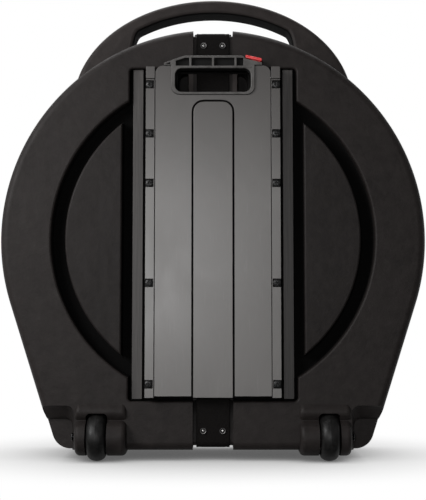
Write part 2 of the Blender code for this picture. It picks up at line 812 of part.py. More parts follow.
def rail_screws():
    tip = FLOOR_Y + WALL - GAP
    neck = RAIL_FACE + SCREW_HEAD_HEIGHT
    profile = [
        (SCREW_CROWN, RAIL_FACE),
        (SCREW_HEAD, neck - SCREW_CROWN_HEIGHT),
        (SCREW_HEAD, neck),
        (SCREW_SHANK, neck),
        (SCREW_SHANK, tip),
    ]
    for side, word in ((-1, "left"), (1, "right")):
        for number, z in enumerate(screw_heights(), 1):
            pin(f"rail_screw_{word}_{number}", profile, screw_place(side, z), black_steel())


def pin(name, profile, centre, finish, axis="Y", steps=12):
    """A solid turned from (radius, distance) points, with flat ends."""
    rings = []
    for radius, along in profile:
        ring = circle(centre, radius, steps)
        if axis == "Y":
            rings.append([(a, along, b) for a, b in ring])
        else:
            rings.append([(along, a, b) for a, b in ring])
    return stack(name, rings, finish, True)


def tongue_outline(grow=0.0):
    """Points (x, z) of the centre strip, with round upper corners."""
    half = TONGUE_HALF + grow
    top = TONGUE_TOP + grow
    low = RAIL_BOTTOM - (THROUGH if grow else 0)
    small = TONGUE_ROUND + grow
    quarter = math.pi / 2
    right = arc((half - small, top - small), small, 0, quarter, CORNER_STEPS)
    left = arc((small - half, top - small), small, quarter, 2 * quarter, CORNER_STEPS)
    return [(half, low), *right, *left, (-half, low)]


def handle_tongue():
    strip = plate("handle_centre_tongue", tongue_outline(), PANEL_FACE, TRAY_FACE - GAP, handle_plastic())
    inner = TONGUE_HALF - TONGUE_WALL
    hollow = block(
        "cut_tongue",
        (-inner, PANEL_FACE + TONGUE_WALL, RAIL_BOTTOM + TONGUE_WALL),
        (inner, TRAY_FACE + THROUGH, TONGUE_TOP - TONGUE_ROUND),
    )
    cut(strip, hollow)


def handle_panel():
    half = PANEL_HALF
    small = SHOULDER_RADIUS
    quarter = math.pi / 2
    window = GRIP_HALF + GAP
    sill = GRIP_BOTTOM - GAP
    outline = [
        (half, PANEL_BOTTOM),
        *arc((half - small, PANEL_TOP - small), small, 0, quarter, CORNER_STEPS),
        (window, PANEL_TOP),
        (window, sill),
        (-window, sill),
        (-window, PANEL_TOP),
        *arc((small - half, PANEL_TOP - small), small, quarter, 2 * quarter, CORNER_STEPS),
        (-half, PANEL_BOTTOM),
    ]
    panel = plate("handle_panel", outline, PANEL_FACE, PLATE_BACK, handle_plastic())
    for side, word in ((-1, "left"), (1, "right")):
        inner, outer = mirrored(half - PANEL_WEB, half, side)
        low_y = PLATE_BACK - PANEL_PLATE / 2
        web = block(
            "add_web_" + word,
            (inner, low_y, PANEL_BOTTOM),
            (outer, WEB_BACK, PANEL_TOP - small),
        )
        inner, outer = mirrored(half - PANEL_WEB / 2, half + RUNNER_REACH, side)
        runner = block(
            "add_runner_" + word,
            (inner, RUNNER_Y - RUNNER_HALF, PANEL_BOTTOM),
            (outer, RUNNER_Y + RUNNER_HALF - GAP, PANEL_TOP - small - GAP),
        )
        join(panel, web, runner)
    boss = block(
        "add_boss",
        (BOSS_X, PLATE_BACK - PANEL_PLATE / 2, BOLT_Z - WALL),
        (BOSS_X + BOSS_WIDTH, WEB_BACK, BOLT_Z + WALL),
    )
    join(panel, boss)
    clear = BOLT_RADIUS + GAP
    low = TONGUE_HALF + LEG_GAP
    cut(panel, plate("cut_leg_gap", tongue_outline(LEG_GAP), PANEL_FACE - THROUGH, WEB_BACK + THROUGH))
    cut(panel, rod("cut_bolt_way", (RUNNER_Y, BOLT_Z), clear, low, half + RUNNER_REACH + THROUGH, steps=12))
    gate = block(
        "cut_runner_gate",
        (half, RUNNER_Y - 2 * RUNNER_HALF, BOLT_Z - BOLT_HEAD),
        (half + THROUGH, RUNNER_Y + 2 * RUNNER_HALF, BOLT_Z + BOLT_HEAD),
    )
    cut(panel, gate)


def slope_z(x, drop=0.0):
    """Height of the grip's sloping shoulder."""
    fall = (GRIP_TOP - GRIP_TIP_Z) / (GRIP_TIP_X - GRIP_FLAT_HALF)
    return GRIP_TOP - fall * (x - GRIP_FLAT_HALF) - drop


def handle_grip():
    small = HOLE_ROUND
    quarter = math.pi / 2
    tip_low = PANEL_TOP + GAP
    seat = LEVER_LEFT - GAP * 4
    outline = [
        (-GRIP_HALF, tip_low),
        *arc((small - GRIP_HALF, GRIP_BOTTOM + small), small, 2 * quarter, 3 * quarter, CORNER_STEPS),
        *arc((GRIP_HALF - small, GRIP_BOTTOM + small), small, -quarter, 0, CORNER_STEPS),
        (GRIP_HALF, tip_low),
        (GRIP_TIP_X, tip_low),
        (GRIP_TIP_X, slope_z(GRIP_TIP_X, LEVER_DROP)),
        (seat, slope_z(seat, LEVER_DROP)),
        (seat, slope_z(seat)),
        (GRIP_FLAT_HALF, GRIP_TOP),
        (-GRIP_FLAT_HALF, GRIP_TOP),
        (-GRIP_TIP_X, GRIP_TIP_Z),
        (-GRIP_TIP_X, tip_low),
    ]
    back = WEB_BACK
    grip = plate("handle_grip", outline, GRIP_FACE, back, black_plastic())
    hole = rounded((-HOLE_HALF, HOLE_BOTTOM), (HOLE_HALF, HOLE_TOP), HOLE_ROUND - WALL)
    cut(grip, plate("cut_finger_hole", hole, GRIP_FACE - THROUGH, back + THROUGH))
    ribs = (-RIB_PITCH, 0, RIB_PITCH)
    starts = [CELL_LEFT_LIP - HOLE_HALF] + [x + RIB_WIDTH / 2 for x in ribs]
    ends = [x - RIB_WIDTH / 2 for x in ribs] + [HOLE_HALF - CELL_RIGHT_LIP]
    cell_top = GRIP_TOP - CELL_TOP_DROP
    for number, (low, high) in enumerate(zip(starts, ends), 1):
        cell = block(
            f"cut_cell_{number}",
            (low, GRIP_FACE - THROUGH, cell_top - CELL_HEIGHT),
            (high, GRIP_FACE + CELL_DEPTH, cell_top),
        )
        cut(grip, cell)
    slot_y = (PLATE_BACK, PLATE_BACK + LEVER_ARM_DEPTH + 2 * GAP)
    hub_low = LEVER_PIVOT_Z - LEVER_HUB - 3 * GAP
    hub_room = block(
        "cut_hub_room",
        (LEVER_PIVOT_X - 2 * LEVER_HUB, slot_y[0], hub_low),
        (GRIP_TIP_X - GAP * 2, slot_y[1], GRIP_TOP + THROUGH),
    )
    arm_room = block(
        "cut_arm_room",
        (GRIP_HALF, slot_y[0], GRIP_BOTTOM),
        (GRIP_TIP_X - GAP * 2, slot_y[1], GRIP_TOP + THROUGH),
    )
    pin_hole = disc(
        "cut_pin_hole",
        (LEVER_PIVOT_X, LEVER_PIVOT_Z),
        PIN_RADIUS + GAP / 2,
        slot_y[0] - WALL,
        back + THROUGH,
        steps=12,
    )
    cut(grip, hub_room, arm_room, pin_hole)


def lever_place():
    return LEVER_PIVOT_X, PLATE_BACK + GAP + LEVER_ARM_DEPTH / 2, LEVER_PIVOT_Z


def release_lever():
    y_from = PLATE_BACK + GAP
    y_to = y_from + LEVER_ARM_DEPTH
    right = GRIP_TIP_X
    low = [(LEVER_LEFT, slope_z(LEVER_LEFT) + GAP), (right, slope_z(right) + GAP)]
    top = [(x, z + LEVER_THICK) for x, z in reversed(low)]
    middle = (y_from + y_to) / 2
    lever = plate(
        "release_lever",
        low + top,
        middle - LEVER_DEPTH,
        middle + LEVER_DEPTH / 2,
        red_plastic(),
    )
    hub = disc("add_lever_hub", (LEVER_PIVOT_X, LEVER_PIVOT_Z), LEVER_HUB, y_from, y_to)
    arm_right = LEVER_ARM_X + LEVER_ARM
    stem = plate(
        "add_lever_stem",
        [
            (LEVER_PIVOT_X - LEVER_STEM, LEVER_PIVOT_Z),
            (LEVER_PIVOT_X, LEVER_PIVOT_Z - LEVER_STEM),
            (LEVER_ARM_X, LEVER_PIVOT_Z - LEVER_STEM),
            (LEVER_ARM_X, BOLT_Z - LEVER_ARM),
            (arm_right, BOLT_Z - LEVER_ARM),
            (arm_right, slope_z(arm_right) + LEVER_THICK / 2),
            (LEVER_PIVOT_X, slope_z(LEVER_PIVOT_X) + LEVER_THICK / 2),
        ],
        y_from + GAP / 3,
        y_to - GAP / 3,
    )
    join(lever, hub, stem)
    eye = block(
        "cut_lever_eye",
        (LEVER_ARM_X - LEVER_ARM, RUNNER_Y - BOLT_RADIUS - 2 * GAP, BOLT_Z - BOLT_RADIUS - 4 * GAP),
        (arm_right + LEVER_ARM, RUNNER_Y + BOLT_RADIUS + 2 * GAP, BOLT_Z + BOLT_RADIUS + 6 * GAP),
    )
    hole = disc(
        "cut_lever_hole",
        (LEVER_PIVOT_X, LEVER_PIVOT_Z),
        PIN_RADIUS + GAP,
        y_from - THROUGH,
        y_to + THROUGH,
        steps=12,
    )
    cut(lever, eye, hole)
    carry_on(lever, lever_place())


def lever_pin():
    y_from = PLATE_BACK - WALL + GAP
    y_to = WEB_BACK - GAP
    place = (LEVER_PIVOT_X, LEVER_PIVOT_Z)
    pin("lever_pin", [(PIN_RADIUS - GAP / 2, y_from), (PIN_RADIUS - GAP / 2, y_to)], place, steel())


def lock_bolt():
    head = LEVER_ARM_X - 2 * GAP
    profile = [
        (BOLT_HEAD, head - BOLT_RADIUS),
        (BOLT_HEAD, head),
        (BOLT_RADIUS, head),
        (BOLT_RADIUS, COLLAR_X),
        (BOLT_HEAD + GAP, COLLAR_X),
        (BOLT_HEAD + GAP, COLLAR_X + BOLT_RADIUS / 2),
        (BOLT_RADIUS, COLLAR_X + BOLT_RADIUS / 2),
        (BOLT_RADIUS, GROOVE_FLOOR + BOLT_ENTRY),
    ]
    bolt = pin("lock_bolt", profile, (RUNNER_Y, BOLT_Z), steel(), "X")
    carry_on(bolt, (head, RUNNER_Y, BOLT_Z))


def coil_spring():
    """A compression spring: a round wire on a helix about X, between the boss and the collar."""
    low = BOSS_X + BOSS_WIDTH + GAP + SPRING_WIRE
    high = COLLAR_X - GAP - SPRING_WIRE
    count = SPRING_TURNS * SPRING_STEPS
    curve = bpy.data.curves.new("bolt_spring", "CURVE")
    curve.dimensions = "3D"
    curve.bevel_depth = SPRING_WIRE
    curve.bevel_resolution = 1
    curve.use_fill_caps = True
    spline = curve.splines.new("POLY")
    spline.points.add(count)
    for k in range(count + 1):
        turn = 2 * math.pi * SPRING_TURNS * k / count
        x = low + (high - low) * k / count
        y = RUNNER_Y + SPRING_RADIUS * math.cos(turn)
        z = BOLT_Z + SPRING_RADIUS * math.sin(turn)
        spline.points[k].co = (x, y, z, 1)
    curve.materials.append(steel())
    spring = bpy.data.objects.new("bolt_spring", curve)
    bpy.context.scene.collection.objects.link(spring)


def pull_handle():
    handle_tray()
    rail(-1, "left")
    rail(1, "right")
    rail_screws()
    handle_tongue()
    handle_panel()
    handle_grip()
    release_lever()
    lever_pin()
    lock_bolt()
    coil_spring()


# Wheels
def wheel(side, word):
    centre = (AXLE_Y, WHEEL_RADIUS)
    middle = side * WHEEL_X
    half = WHEEL_WIDTH / 2
    small = TYRE_SHOULDER
    quarter = math.pi / 2
    tread = [
        (HUB_RADIUS + GAP, -half),
        *arc((WHEEL_RADIUS - small, small - half), small, -quarter, 0, TREAD_STEPS),
        *arc((WHEEL_RADIUS - small, half - small), small, 0, quarter, TREAD_STEPS),
        (HUB_RADIUS + GAP, half),
    ]
    tyre = turned("tyre_" + word, shifted(tread, middle), centre, tyre_rubber(), "X", ROUND_STEPS)
    face = half - AXLE_RADIUS / 4
    seat = face - BEARING_WIDTH - 2 * GAP
    room = BEARING_RADIUS + GAP
    web = BEARING_RADIUS - 2 * SEAM_GAP
    ring = [(HUB_RADIUS, -face), (HUB_RADIUS, face), (room, face), (room, seat)]
    ring += [(web, seat), (web, -seat), (room, -seat), (room, -face)]
    hub = turned("wheel_hub_" + word, shifted(ring, middle), centre, black_plastic(), "X", ROUND_STEPS)
    moving = [tyre, hub]
    for outer, place in ((1, "outer"), (-1, "inner")):
        start = outer * side * (seat + GAP)
        end = outer * side * (seat + GAP + BEARING_WIDTH)
        race = [(AXLE_RADIUS + GAP, start), (BEARING_RADIUS, start)]
        race += [(BEARING_RADIUS, end), (AXLE_RADIUS + GAP, end)]
        name = f"bearing_{word}_{place}"
        moving.append(turned(name, shifted(race, middle), centre, steel(), "X"))
    for piece in moving:
        carry_on(piece, (middle, *centre))
    head = STEP_X + GAP
    profile = [
        (AXLE_RADIUS, side * (POD_INNER_X + WALL)),
        (AXLE_RADIUS, side * head),
        (AXLE_HEAD, side * head),
        (AXLE_HEAD, side * (head + AXLE_RADIUS / 2)),
    ]
    pin("axle_" + word, profile, centre, steel(), "X", SMALL_STEPS)


def shifted(profile, distance):
    return [(radius, along + distance) for radius, along in profile]


# Straps, rivets and buckle
def ribbon(name, path, half, finish):
    """A flat strap of even thickness along a path of (y, z) points, with mitred bends."""
    points = np.array(path)
    runs = np.diff(points, axis=0)
    runs /= np.linalg.norm(runs, axis=1)[:, None]
    normals = np.stack([-runs[:, 1], runs[:, 0]], axis=1)
    before = np.vstack([normals[:1], normals])
    after = np.vstack([normals, normals[-1:]])
    mitre = before + after
    mitre /= (1 + (before * after).sum(axis=1))[:, None]
    offset = mitre * STRAP_THICK / 2
    outline = [tuple(p) for p in points + offset] + [tuple(p) for p in (points - offset)[::-1]]
    return section(name, outline, -half, half, finish)


def strap_lift():
    """From the floor of a strap groove to the middle of the strap."""
    return STRAP_THICK / 2 + GAP


def upper_bend(outward, depth):
    """The strap's way from the top of a shell over its edge to its face."""
    radius = EDGE_RADIUS - STRAP_GROOVE + strap_lift()
    middle = SEAM_Y + outward * (depth - EDGE_RADIUS)
    turns = np.linspace(math.pi / 2, 0, 2 * EDGE_STEPS + 1)
    centre_z = TOP_Z - EDGE_RADIUS
    return [(middle + outward * radius * math.cos(t), centre_z + radius * math.sin(t)) for t in turns]


def lower_bend(outward, depth):
    """The strap's way from the face of a shell under its edge to the base."""
    radius = EDGE_RADIUS - STRAP_GROOVE + strap_lift()
    middle = SEAM_Y + outward * (depth - EDGE_RADIUS)
    turns = np.linspace(0, math.pi / 2, 2 * EDGE_STEPS + 1)
    centre_z = BASE_Z + EDGE_RADIUS
    bend = [(middle + outward * radius * math.cos(t), centre_z - radius * math.sin(t)) for t in turns]
    shallow = BASE_Z + STRAP_GROOVE_BASE - strap_lift()
    bend.append((middle - outward * (STRAP_GROOVE - STRAP_THICK / 2), shallow))
    bend.append((SEAM_Y + outward * SEAM_GAP / 2, shallow))
    return bend


def straps():
    lift = strap_lift()
    face = SEAM_Y - BACK_DEPTH + STRAP_GROOVE - lift
    deep = FLOOR_Y + STRAP_GROOVE_FLOOR - lift
    low_turn = RECESS_BOTTOM + lift
    high_turn = RECESS_TOP - lift
    start = (SEAM_Y - BUCKLE_FROM_SEAM, TOP_Z - STRAP_GROOVE + lift)
    inside = [(face, high_turn), (deep, high_turn), (deep, low_turn), (face, low_turn)]
    back_path = [start, *upper_bend(-1, BACK_DEPTH), *inside, *lower_bend(-1, BACK_DEPTH)]
    back = ribbon("strap_back", back_path, STRAP_HALF, webbing())
    cut_rivet_holes(back, "cut_strap_back_rivet", -1, BACK_DEPTH)
    start = (SEAM_Y + BUCKLE_FROM_SEAM / 2, TOP_Z - STRAP_GROOVE + lift)
    front_face = SEAM_Y + FRONT_DEPTH - STRAP_GROOVE + lift
    tail = STRAP_FRONT_REACH / 2
    upper_path = [start, *upper_bend(1, FRONT_DEPTH), (front_face, RIVET_TOP_Z - tail)]
    lower_path = [(front_face, RIVET_LOW_Z + tail), *lower_bend(1, FRONT_DEPTH)]
    upper = ribbon("strap_front_upper", upper_path, STRAP_HALF, webbing())
    lower = ribbon("strap_front_lower", lower_path, STRAP_HALF, webbing())
    cut_rivet_holes(upper, "cut_strap_upper_rivet", 1, FRONT_DEPTH, (RIVET_TOP_Z,))
    cut_rivet_holes(lower, "cut_strap_lower_rivet", 1, FRONT_DEPTH, (RIVET_LOW_Z,))


def rivets():
    for outward, depth, shell in ((-1, BACK_DEPTH, "back"), (1, FRONT_DEPTH, "front")):
        outer = depth - STRAP_GROOVE + STRAP_THICK + 2 * GAP
        inner = depth - STRAP_GROOVE - WALL - RIVET_HEIGHT
        profile = [
            (RIVET_CROWN, outer + RIVET_HEIGHT),
            (RIVET_HEAD, outer + RIVET_RIM),
            (RIVET_HEAD, outer),
            (RIVET_SHANK, outer),
            (RIVET_SHANK, inner),
        ]
        placed = [(radius, SEAM_Y + outward * along) for radius, along in profile]
        for number, place in enumerate(rivet_places(), 1):
            pin(f"rivet_{shell}_{number}", placed, place, steel())


def buckle():
    low = TOP_Z - STRAP_GROOVE + STRAP_THICK + 2 * GAP
    top = low + BUCKLE_HEIGHT
    near = SEAM_Y - BUCKLE_FROM_SEAM
    far = near - BUCKLE_LENGTH
    wall = BUCKLE_WALL
    prong_low = low + wall + 2 * GAP
    housing = block("buckle_housing", (-BUCKLE_HALF, far, low), (BUCKLE_HALF, near, top), black_plastic())
    slider_near = near - wall - SLIDER_TRAVEL
    slider_far = slider_near - SLIDER_LENGTH
    room = block(
        "cut_buckle_room",
        (-PRONG_HALF - PRONG_PLAY, far + wall, low + wall),
        (PRONG_HALF + PRONG_PLAY, near + THROUGH, top - wall),
    )
    stem_way = block(
        "cut_slider_way",
        (-SLIDER_STEM - GAP, slider_far - SLIDER_TRAVEL + wall, top - 2 * wall),
        (SLIDER_STEM + GAP, slider_near - wall + GAP, top + THROUGH),
    )
    cut(housing, room, stem_way)
    slider = block(
        "buckle_slider",
        (-SLIDER_HALF, slider_far, top + GAP),
        (SLIDER_HALF, slider_near, top + GAP + SLIDER_HEIGHT),
        black_plastic(),
    )
    stem_end = slider_far + 2 * wall
    stem = block(
        "add_slider_stem",
        (-SLIDER_STEM, stem_end, top - wall - 2 * GAP),
        (SLIDER_STEM, slider_near - wall, top + SLIDER_HEIGHT / 2),
    )
    foot = block(
        "add_slider_foot",
        (-SLIDER_STEM * 2, stem_end, top - wall - 4 * GAP),
        (SLIDER_STEM * 2, slider_near - wall, top - wall - GAP),
    )
    join(slider, stem, foot)
    shank_near = SEAM_Y + BUCKLE_FROM_SEAM
    tongue = block(
        "buckle_tongue",
        (-BUCKLE_HALF, shank_near, low),
        (BUCKLE_HALF, shank_near + SHANK_LENGTH, top - wall),
        black_plastic(),
    )
    prong = block(
        "add_prong",
        (-PRONG_HALF, near - PRONG_REACH, prong_low),
        (PRONG_HALF, shank_near + SHANK_LENGTH / 2, prong_low + PRONG_THICK),
    )
    join(tongue, prong)


# Post for the cymbals, lining and feet
def post_and_lining():
    centre = (0, BODY_CENTRE_Z)
    base = FLOOR_Y + WALL + GAP
    top = base + FLANGE_THICK
    tip = base + POST_LENGTH
    profile = [(FLANGE_RADIUS, base), (FLANGE_RADIUS, top), (POST_RADIUS, top), (POST_RADIUS, tip)]
    pin("centre_post", profile, centre, steel(), steps=24)
    bore = POST_RADIUS + GAP
    y = top + GAP
    for name, radius, thick, finish in (
        ("felt_lower", FELT_RADIUS, FELT_THICK, felt()),
        ("felt_upper", FELT_RADIUS, FELT_THICK, felt()),
        ("clamp_disc", CLAMP_RADIUS, CLAMP_THICK, black_plastic()),
    ):
        ring = [(bore, y), (radius, y), (radius, y + thick), (bore, y + thick)]
        turned(name, ring, centre, finish, "Y", 24)
        y += thick + GAP
    ring = [(bore, y), (NUT_RADIUS, y), (NUT_TOP_RADIUS, y + NUT_HEIGHT), (bore, y + NUT_HEIGHT)]
    nut = turned("wing_nut", ring, centre, steel())
    for side, word in ((-1, "left"), (1, "right")):
        near, far = mirrored(bore + GAP * 4, WING_REACH, side)
        wing = block(
            "add_wing_" + word,
            (near, y + WING_RISE, BODY_CENTRE_Z - WING_THICK / 2),
            (far, y + WING_TOP, BODY_CENTRE_Z + WING_THICK / 2),
        )
        join(nut, wing)
    carry_on(nut, (0, y, BODY_CENTRE_Z))
    pad_y = FLOOR_Y + WALL + GAP
    pad = [(FOAM_HOLE, pad_y), (FOAM_BACK_RADIUS, pad_y)]
    pad += [(FOAM_BACK_RADIUS, pad_y + FOAM_THICK), (FOAM_HOLE, pad_y + FOAM_THICK)]
    turned("foam_pad_back", pad, centre, foam(), "Y", 2 * SMALL_STEPS)
    front_y = SEAM_Y + FRONT_DEPTH - FRONT_GROOVE_DEPTH - WALL - GAP
    disc("foam_pad_front", centre, FOAM_FRONT_RADIUS, front_y - FOAM_THICK, front_y, foam(), 2 * SMALL_STEPS)


def foot_place(side):
    return side * FOOT_X, SEAM_Y + FOOT_FROM_SEAM


def feet():
    for side, word in ((-1, "left"), (1, "right")):
        place = foot_place(side)
        top = BASE_Z - GAP
        foot = upright("foot_" + word, circle(place, FOOT_RADIUS, 24), 0, top, tyre_rubber())
        sink = upright("cut_foot_sink_" + word, circle(place, FOOT_BOLT_HEAD + GAP), -THROUGH, FOOT_BOLT_SINK)
        hole = circle(place, FOOT_BOLT_SHANK + GAP, 8)
        bore = upright("cut_foot_bore_" + word, hole, -THROUGH, top + THROUGH)
        cut(foot, sink, bore)
        head = upright(
            "foot_bolt_" + word,
            circle(place, FOOT_BOLT_HEAD, 12),
            FOOT_BOLT_SINK / 3,
            FOOT_BOLT_SINK - GAP,
            steel(),
        )
        shank = upright(
            "add_foot_shank_" + word,
            circle(place, FOOT_BOLT_SHANK, 8),
            FOOT_BOLT_SINK / 2,
            BASE_Z + 2 * WALL,
        )
        join(head, shank)


def main():
    clear_scene()
    back_shell()
    front_shell()
    pull_handle()
    wheel(-1, "left")
    wheel(1, "right")
    straps()
    rivets()
    buckle()
    post_and_lining()
    feet()


main()
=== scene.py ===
"""A wheeled hard case for cymbals, seen from behind, on a pale floor in soft studio light."""

import json
import math

import bmesh
import bpy
import numpy as np
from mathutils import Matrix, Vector


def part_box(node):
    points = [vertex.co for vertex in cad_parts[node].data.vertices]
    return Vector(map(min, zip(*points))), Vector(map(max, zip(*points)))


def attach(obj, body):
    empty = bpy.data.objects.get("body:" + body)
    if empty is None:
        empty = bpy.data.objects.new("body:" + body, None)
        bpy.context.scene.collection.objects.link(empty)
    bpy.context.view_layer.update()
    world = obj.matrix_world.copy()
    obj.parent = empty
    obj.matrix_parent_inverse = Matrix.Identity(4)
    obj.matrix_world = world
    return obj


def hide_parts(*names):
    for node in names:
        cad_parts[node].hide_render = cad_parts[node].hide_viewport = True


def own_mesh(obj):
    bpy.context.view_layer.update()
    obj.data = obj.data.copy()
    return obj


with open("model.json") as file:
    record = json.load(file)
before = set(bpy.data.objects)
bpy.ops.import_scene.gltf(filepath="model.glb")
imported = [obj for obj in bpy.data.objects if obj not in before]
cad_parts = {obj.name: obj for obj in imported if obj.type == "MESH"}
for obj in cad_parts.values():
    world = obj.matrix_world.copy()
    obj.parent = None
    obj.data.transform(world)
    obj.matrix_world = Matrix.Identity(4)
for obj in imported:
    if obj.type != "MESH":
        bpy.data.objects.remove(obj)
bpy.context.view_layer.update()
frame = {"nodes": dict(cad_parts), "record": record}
slots = {row["node"]: row["material_slot"] for row in frame["record"]["subparts"]}

# The photograph's frame and the camera, low behind the case and tilted up a little
PHOTO_HEIGHT = 500
FOCAL_PIXELS = 963
CAMERA_PLACE = (0.0, -1.6335, 0.229)
CAMERA_TILT = math.radians(4)

# How far from the case its soft shadow reaches on the floor, and how dark it is at its deepest
SHADOW_REACH = 0.26
SHADOW_DEEP = 0.10

# The strength of the grey room's light
ROOM_STRENGTH = 0.06


def photo_camera():
    """The sensor's long side stands for the photograph's height, so the lens follows from its pixels."""
    lens = bpy.data.cameras.new("photo_camera")
    lens.lens = FOCAL_PIXELS * lens.sensor_width / PHOTO_HEIGHT
    lens.clip_start = 0.05
    holder = bpy.data.objects.new("photo_camera", lens)
    holder.location = CAMERA_PLACE
    holder.rotation_euler = (math.pi / 2 + CAMERA_TILT, 0, 0)
    bpy.context.scene.collection.objects.link(holder)
    bpy.context.scene.camera = holder


# Nodes, light and floor
def fill(tree, node, **values):
    """Gives a node's named inputs a number or colour each, or a link where the value is a socket."""
    for name, value in values.items():
        socket = node.inputs[name.replace("_", " ")]
        if isinstance(value, bpy.types.NodeSocket):
            tree.links.new(value, socket)
        else:
            socket.default_value = value
    return node


def math_node(tree, operation, first, second):
    """The product of two sockets, or the larger of them, or the like."""
    node = tree.nodes.new("ShaderNodeMath")
    node.operation = operation
    tree.links.new(first, node.inputs[0])
    tree.links.new(second, node.inputs[1])
    return node.outputs[0]


def ray_is(tree, *kinds):
    """1 where the ray is of one of these kinds of Light Path, and 0 elsewhere."""
    path = tree.nodes.new("ShaderNodeLightPath")
    found = path.outputs[kinds[0]]
    for kind in kinds[1:]:
        found = math_node(tree, "MAXIMUM", found, path.outputs[kind])
    return found


def mix_shaders(tree, factor, first, second, output):
    """Leads a mix of two shaders to the tree's output."""
    mix = tree.nodes.new("ShaderNodeMixShader")
    for socket, source in zip(mix.inputs, (factor, first, second)):
        tree.links.new(source, socket)
    tree.links.new(mix.outputs[0], tree.nodes[output].inputs["Surface"])


def white_room():
    """A dim grey room, white to the camera, and with a white backdrop behind the case for gloss and glass."""
    world = bpy.data.worlds.new("white_room")
    world.use_nodes = True
    tree = world.node_tree
    white = (1, 1, 1, 1)
    dim = fill(tree, tree.nodes["Background"], Color=white, Strength=ROOM_STRENGTH)
    bright = fill(tree, tree.nodes.new("ShaderNodeBackground"), Color=white, Strength=1.0)
    ways = tree.nodes.new("ShaderNodeTexCoord").outputs["Generated"]
    split = fill(tree, tree.nodes.new("ShaderNodeSeparateXYZ"), Vector=ways)
    behind = tree.nodes.new("ShaderNodeMapRange")
    fill(tree, behind, Value=split.outputs["Y"], From_Min=-0.1, From_Max=0.3)
    shiny = ray_is(tree, "Is Glossy Ray", "Is Transmission Ray")
    backed = math_node(tree, "MULTIPLY", shiny, behind.outputs["Result"])
    seen = math_node(tree, "MAXIMUM", ray_is(tree, "Is Camera Ray"), backed)
    mix_shaders(tree, seen, dim.outputs[0], bright.outputs[0], "World Output")
    bpy.context.scene.world = world


def softbox(name, place, aim, size, power):
    """A rectangular area lamp turned towards a point."""
    lamp = bpy.data.lights.new(name, "AREA")
    lamp.shape = "RECTANGLE"
    lamp.size, lamp.size_y = size
    lamp.energy = power
    holder = bpy.data.objects.new(name, lamp)
    holder.location = place
    holder.rotation_euler = (Vector(aim) - Vector(place)).to_track_quat("-Z", "Y").to_euler()
    bpy.context.scene.collection.objects.link(holder)


def studio_light():
    """A key lamp from the left, a weak fill, a wide lamp above, and a small low one before the handle."""
    softbox("key_light", (-1.35, -1.1, 1.0), (0, 0, 0.35), (0.8, 0.8), 31)
    softbox("fill_light", (1.9, -1.3, 1.1), (0, 0, 0.35), (1.0, 1.0), 3)
    softbox("top_light", (-0.2, 0.3, 2.2), (0, -0.1, 0.4), (1.4, 1.2), 20)
    softbox("front_light", (-0.3, -2.5, 0.45), (0, 0, 0.36), (0.35, 0.35), 18)


def floor_white():
    """White paper: seen, it is as clear as the backdrop and keeps a soft shadow; light meets mid grey."""
    made = finish("floor_white", (0.5, 0.5, 0.5), 0.9, 0.0, 0.1)
    tree = made.node_tree
    shade = fill(tree, tree.nodes.new("ShaderNodeAmbientOcclusion"), Distance=SHADOW_REACH)
    shade.samples = 24
    tone = ramp_of(made, shade.outputs["AO"], 0.02, 0.95, SHADOW_DEEP, 1.0)
    clear = fill(tree, tree.nodes.new("ShaderNodeBsdfTransparent"), Color=tone)
    seen = ray_is(tree, "Is Glossy Ray", "Is Transmission Ray", "Is Camera Ray", "Is Shadow Ray")
    paper = tree.nodes["Principled BSDF"]
    mix_shaders(tree, seen, paper.outputs[0], clear.outputs[0], "Material Output")
    return made


def pale_floor():
    """A wide flat floor."""
    side = np.linspace(-6, 6, 25)
    x, y = np.meshgrid(side, side)
    points = np.stack([x, y, np.zeros_like(x)], axis=-1)
    mesh_piece("floor", points, grid_faces(25, 25), floor_white())


# Meshes
def mesh_piece(name, points, faces, material=None):
    """One smooth mesh object at the origin."""
    mesh = bpy.data.meshes.new(name)
    mesh.from_pydata(np.asarray(points, float).reshape(-1, 3).tolist(), [], faces)
    mesh.update()
    mesh.shade_smooth()
    piece = bpy.data.objects.new(name, mesh)
    bpy.context.scene.collection.objects.link(piece)
    if material is not None:
        mesh.materials.append(material)
    return piece


def grid_faces(rows, columns, wrap_rows=False, wrap_columns=False):
    """Quads between neighbouring rows and columns of a grid of points, numbered row by row."""
    i = np.arange(rows if wrap_rows else rows - 1)
    j = np.arange(columns if wrap_columns else columns - 1)
    i, j = np.meshgrid(i, j, indexing="ij")
    below = (i + 1) % rows
    beside = (j + 1) % columns
    quads = [i * columns + j, i * columns + beside, below * columns + beside, below * columns + j]
    return np.stack(quads, axis=-1).reshape(-1, 4).tolist()


def stand_in(piece, body, node):
    """Rides a piece on its body in the place of a CAD node, which it hides."""
    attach(piece, body)
    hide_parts(node)


def box_of(node):
    """The low and the high corner of a CAD node."""
    return tuple(np.array(corner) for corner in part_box(node))


# Finishes
def look(material, **values):
    """Sets inputs of the material's Principled shader."""
    fill(material.node_tree, material.node_tree.nodes["Principled BSDF"], **values)


def finish(name, colour, roughness, metallic=0.0, specular=0.5):
    """A Principled material with the values that are the same all over it."""
    made = bpy.data.materials.new(name)
    made.use_nodes = True
    look(made, Base_Color=(*colour, 1), Roughness=roughness, Metallic=metallic, Specular_IOR_Level=specular)
    return made


def add_node(material, kind, **values):
    """A new node in a material, its inputs given as fill gives them."""
    return fill(material.node_tree, material.node_tree.nodes.new(kind), **values)


def place_of(material, stretch=(1, 1, 1)):
    """Object coordinates, stretched along each axis."""
    source = add_node(material, "ShaderNodeTexCoord").outputs["Object"]
    return add_node(material, "ShaderNodeMapping", Scale=stretch, Vector=source).outputs["Vector"]


def place_along(material, axis):
    """Object coordinates along one axis; along Y they grow from the face of the case inwards."""
    return add_node(material, "ShaderNodeSeparateXYZ", Vector=place_of(material)).outputs[axis]


